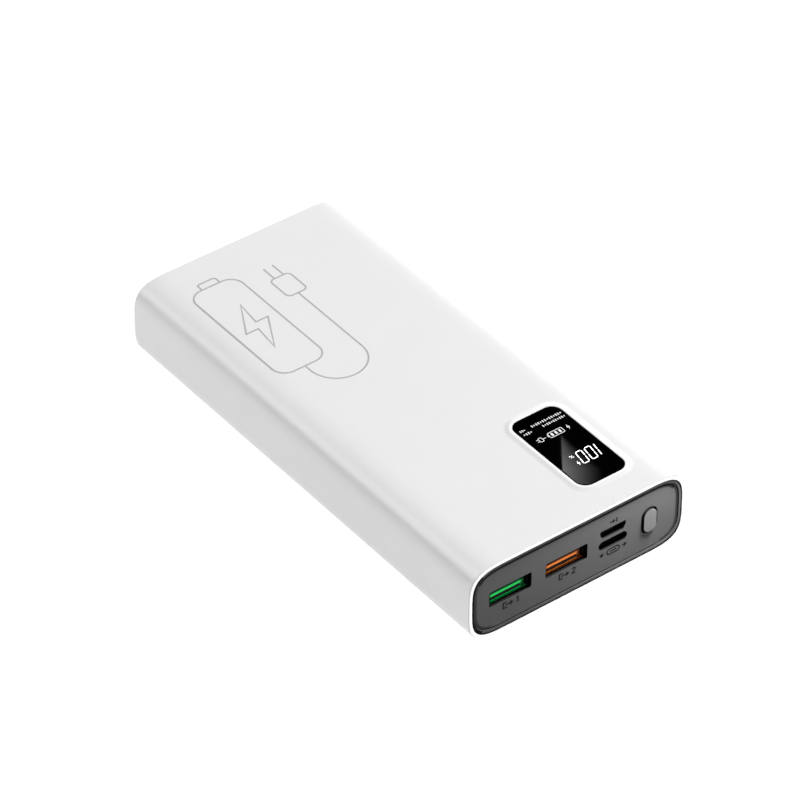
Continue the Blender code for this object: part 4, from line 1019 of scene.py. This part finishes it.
def make_insulator(index, plastic, shaded):
    """Coloured USB-A insulator: tongue with contact slots, raised nose with a groove, base and skirt;
    painted shade on the top faces and on all but the nose's front, and a near-black block in the groove as
    painted shadow.
    """
    node = "usb_a_tongue_%d" % index
    low, high = box_mm(node)
    x = middle(node, 0)
    left, right, nose_right = x - 5.35, x + 5.35, x + 4.1
    tongue_top = box_mm("usb_a_contact_%d_1" % index)[1].z - 0.425
    tongue_bottom = MID_Z - 1.85
    nose_top = tongue_top + 0.5
    nose_y = low.y - 0.35
    nose_back = low.y + 0.45
    base_front = high.y - 2.5
    groove_back = nose_y + 0.3
    groove_top = tongue_top - 0.36
    groove_bottom = tongue_bottom + 0.36
    line_bottom = groove_bottom - 0.2
    edge = 0.1
    profile = [(nose_back, nose_top), (nose_y + edge, nose_top), (nose_y, nose_top - edge)]
    profile += [(nose_y, groove_top), (groove_back, groove_top)]
    profile += [(groove_back, groove_bottom), (nose_y, groove_bottom)]
    profile += [(nose_y, line_bottom), (nose_y + edge, tongue_bottom), (nose_back, tongue_bottom)]
    form = bmesh.new()
    loft(form, [[(x, y, z) for y, z in profile] for x in (left, nose_right)])
    insulator = new_piece("usb_a_insulator_%d" % index, form, plastic)
    join_block(insulator, (left, low.y + 0.2, tongue_bottom), (right, base_front + 0.4, tongue_top))
    join_block(insulator, (low.x, base_front, low.z), high)
    skirt_high = (high.x - 0.02, base_front + 0.3, low.z + 0.08)
    join_block(insulator, (low.x + 0.02, nose_y, low.z + 0.01), skirt_high)
    slots = bmesh.new()
    for number in range(1, 5):
        x = middle("usb_a_contact_%d_%d" % (index, number), 0)
        slot_low = (x - 0.65, nose_back + 0.1, tongue_top - 0.43)
        add_block(slots, slot_low, (x + 0.65, high.y + 1.0, tongue_top + 0.3))
    boolean(insulator, "DIFFERENCE", slots)
    # Painted shade: the top faces, and every face off the nose's front, take the shaded copy of the plastic.
    (dark,) = add_finishes(insulator, shaded)
    for face in insulator.data.polygons:
        x, y, z = (value / MM for value in face.center)
        on_nose = line_bottom + 0.01 <= z and x <= nose_right - 0.01 and y <= nose_back
        if face.normal.z > 0.5 or not on_nose:
            face.material_index = dark
    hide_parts(node)
    # Painted shadow: a near-black block fills the groove across the nose.
    form = bmesh.new()
    groove_shadow_low = (left + 0.05, nose_y + 0.04, groove_bottom + 0.02)
    add_block(form, groove_shadow_low, (nose_right - 0.05, groove_back - 0.02, groove_top - 0.02))
    groove_shadow = new_piece("usb_a_groove_painted_shadow_%d" % index, form, GREY_PAINTED_SHADOW)


# ---------------- finishes of the CAD pieces

BLACK_PARTS = ("inner_chassis", "type_c_tongue", "micro_usb_tongue", "switch_body", "display_module")
KEPT_FINISHES = (
    (BLACK, BLACK_PARTS + ("charge_controller", "boost_controller")),
    (BOARD, ("protection_board", "main_board")),
    (STEEL_PAINTED_DARK, ("usb_a_shell", "type_c_shell", "micro_usb_shell")),
    (STEEL, ("board_screw", "switch_cover")),
    (FOIL, ("battery_cell", "output_capacitor")),
    (TAPE, ("cell_adhesive_pad",)),
    (FOAM, ("foam_pad",)),
    (NICKEL, ("cell_tab",)),
    (RED, ("lead_positive",)),
    (BLACK_LEAD, ("lead_negative",)),
    (GOLD, ("usb_a_contact",)),
    (BUTTON_GREY, ("switch_plunger",)),
    (FERRITE, ("power_inductor",)),
)


def finish_cad_pieces():
    """Give each CAD piece that stays its own procedural finish."""
    for name, node in frame["nodes"].items():
        for material, starts in KEPT_FINISHES:
            if name.startswith(starts):
                node.data.materials.clear()
                node.data.materials.append(material)


# ---------------- room, light and camera

def white_glow(shader):
    """Let a shader glow in white."""
    shader.inputs["Emission Color"].default_value = (1.0, 1.0, 1.0, 1.0)


def make_plane(name, height, glow, shade):
    """A wide pale plane, a height above the ground in millimetres, that glows evenly."""
    form = bmesh.new()
    bmesh.ops.create_grid(form, x_segments=8, y_segments=8, size=6.0)
    plane = new_object(name, form)
    plane.location.z = height * MM
    material, tree, shader = finish("pale_" + name, specular=0.0, glow=glow)
    cover = tint(tree, grain(tree, 400.0), *shades(grey(shade), 0.02))
    tree.links.new(cover, shader.inputs["Base Color"])
    white_glow(shader)
    shader.inputs["Roughness"].default_value = 0.9
    plane.data.materials.append(material)
    return plane


def direction(azimuth, elevation):
    """Unit vector from the object; azimuth 0 points to the front and 90 to the right, in degrees."""
    a, e = math.radians(azimuth), math.radians(elevation)
    return Vector((math.sin(a) * math.cos(e), -math.cos(a) * math.cos(e), math.sin(e)))


def place_facing(name, data, place, aim):
    """A light or a camera at a place, in metres, that faces its aim."""
    item = bpy.data.objects.new(name, data)
    item.location = place
    item.rotation_euler = (place - aim).to_track_quat("Z", "Y").to_euler()
    bpy.context.scene.collection.objects.link(item)
    return item


def add_light(name, place, aim, size, power):
    """A soft square light."""
    data = bpy.data.lights.new(name, "AREA")
    data.size = size
    data.energy = power
    return place_facing(name, data, place, aim)


# Name, azimuth, elevation, watts
LIGHTS = (
    ("front_light", 0.0, 42.0, 4.7),
    ("front_right_light", 45.0, 42.0, 9.0),
    ("right_light", 90.0, 42.0, 4.2),
    ("rear_light", 135.0, 8.0, 5.1),
    ("left_light", 225.0, 42.0, 6.9),
)
LIGHT_AIM = Vector((0.0, 0.0, 0.01))
LIGHT_DISTANCE = 1.2
LIGHT_SIZE = 0.7
PLATE_PIECES = ("socket_plate", "button_cap", "socket_signs")
PLATE_LIGHT_PLACE = Vector((0.042, -0.080, 0.068))
PLATE_LIGHT_AIM = Vector((0.008, -0.071, 0.0115))
PLATE_LIGHT_SIZE = 0.012
PLATE_LIGHT_POWER = 0.32


def plate_group(name, lit=True):
    """The pieces of the socket end, lit by a light alone or left out of it."""
    group = bpy.data.collections.new(name)
    for piece in PLATE_PIECES:
        group.objects.link(bpy.data.objects[piece])
    if not lit:
        for member in group.collection_objects:
            member.light_linking.link_state = "EXCLUDE"
    return group


def make_floor():
    """Pale floor: one plane gives the reflected light, the one above it is what is seen."""
    bounce = make_plane("bounce", -0.3, 0.573, 0.6)
    bounce.visible_camera = False
    bounce.light_linking.receiver_collection = plate_group("shaded_from_the_floor", lit=False)
    floor = make_plane("floor", -0.05, 0.9, 0.35)
    floor.visible_diffuse = floor.visible_glossy = False
    floor.visible_transmission = floor.visible_shadow = False


def make_light():
    """Soft lights; the socket plate is shaded from them and has a small one of its own."""
    shaded = plate_group("shaded_from_the_soft_lights", lit=False)
    for name, azimuth, elevation, power in LIGHTS:
        place = LIGHT_AIM + direction(azimuth, elevation) * LIGHT_DISTANCE
        light = add_light(name, place, LIGHT_AIM, LIGHT_SIZE, power)
        light.light_linking.receiver_collection = shaded
    light = add_light("plate_light", PLATE_LIGHT_PLACE, PLATE_LIGHT_AIM, PLATE_LIGHT_SIZE, PLATE_LIGHT_POWER)
    light.light_linking.receiver_collection = plate_group("lit_from_above")
    world = bpy.data.worlds.new("studio")
    bpy.context.scene.world = world
    world.use_nodes = True
    background = world.node_tree.nodes["Background"]
    background.inputs["Color"].default_value = (1.0, 1.0, 1.0, 1.0)
    background.inputs["Strength"].default_value = 1.0
    rays = world.cycles_visibility
    rays.diffuse = rays.glossy = rays.transmission = False
    bpy.context.scene.view_settings.view_transform = "Standard"


CAMERA_AIM = Vector((0.3, 1.8, 13.5))
CAMERA_AZIMUTH = -37.22
CAMERA_ELEVATION = 39.46
CAMERA_DISTANCE = 1256.5
CAMERA_PLACE = CAMERA_AIM + direction(CAMERA_AZIMUTH, CAMERA_ELEVATION) * CAMERA_DISTANCE
CAMERA_LENS = 222.37


def make_camera():
    """Long-lens camera above the front left corner."""
    data = bpy.data.cameras.new("camera")
    data.lens = CAMERA_LENS
    data.sensor_width = 36.0
    data.clip_start = 0.05
    data.clip_end = 20.0
    bpy.context.scene.camera = place_facing("camera", data, CAMERA_PLACE * MM, CAMERA_AIM * MM)


GLARE_APEX = (16.8, -42.8)
GLARE_LENGTH = 26.0
GLARE_WIDTH = 10.0
GLARE_SPREAD = 0.77
GLARE_FADE_LENGTH = 13.0
GLARE_STRENGTH = 2.9
GLARE_REACH = 1.48
GLARE_ROWS = 24
GLARE_COLUMNS = 16


def make_glare_card():
    """A shaded card beyond the object that the window mirrors as a soft wedge; only reflections see it."""
    mirrored = Vector((CAMERA_PLACE.x, CAMERA_PLACE.y, 2 * GLASS_TOP - CAMERA_PLACE.z))
    near = direction(CAMERA_AZIMUTH, 0.0)
    across = Vector((-near.y, near.x, 0.0))
    apex = Vector((*GLARE_APEX, GLASS_TOP))
    form = bmesh.new()
    shade_layer = form.verts.layers.float.new("shade")
    loops = []
    for row in range(GLARE_ROWS + 1):
        down = GLARE_LENGTH * row / GLARE_ROWS
        width = min(GLARE_SPREAD * down, GLARE_WIDTH) + 0.05
        strength = GLARE_STRENGTH * (0.3 + 0.7 * min(down / GLARE_FADE_LENGTH, 1.0))
        loop = []
        for column in range(GLARE_COLUMNS + 1):
            along = column / GLARE_COLUMNS
            place = apex + near * down + across * width * along
            vert = form.verts.new((mirrored + (place - mirrored) * GLARE_REACH) * MM)
            vert[shade_layer] = strength * (1 - along) ** 1.6
            loop.append(vert)
        loops.append(loop)
    for first, second in zip(loops, loops[1:]):
        for column in range(GLARE_COLUMNS):
            form.faces.new((first[column], first[column + 1], second[column + 1], second[column]))
    card = new_object("glare_card", form)
    material, tree, shader = finish("shaded_card", specular=0.0)
    shader.inputs["Base Color"].default_value = (0.0, 0.0, 0.0, 1.0)
    white_glow(shader)
    pattern = tree.nodes.new("ShaderNodeAttribute")
    pattern.attribute_name = "shade"
    tree.links.new(pattern.outputs["Fac"], shader.inputs["Emission Strength"])
    card.data.materials.append(material)
    card.visible_camera = False
    card.visible_diffuse = False
    card.visible_shadow = False


make_camera()
make_sleeve()
make_socket_plate()
make_end_cap()
make_button_cap()
make_glass()
make_digits()
make_status_marks()
make_top_line()
make_socket_signs()
make_insulator(1, GREEN, GREEN_SHADED)
make_insulator(2, ORANGE, ORANGE_SHADED)
finish_cad_pieces()
make_floor()
make_light()
make_glare_card()
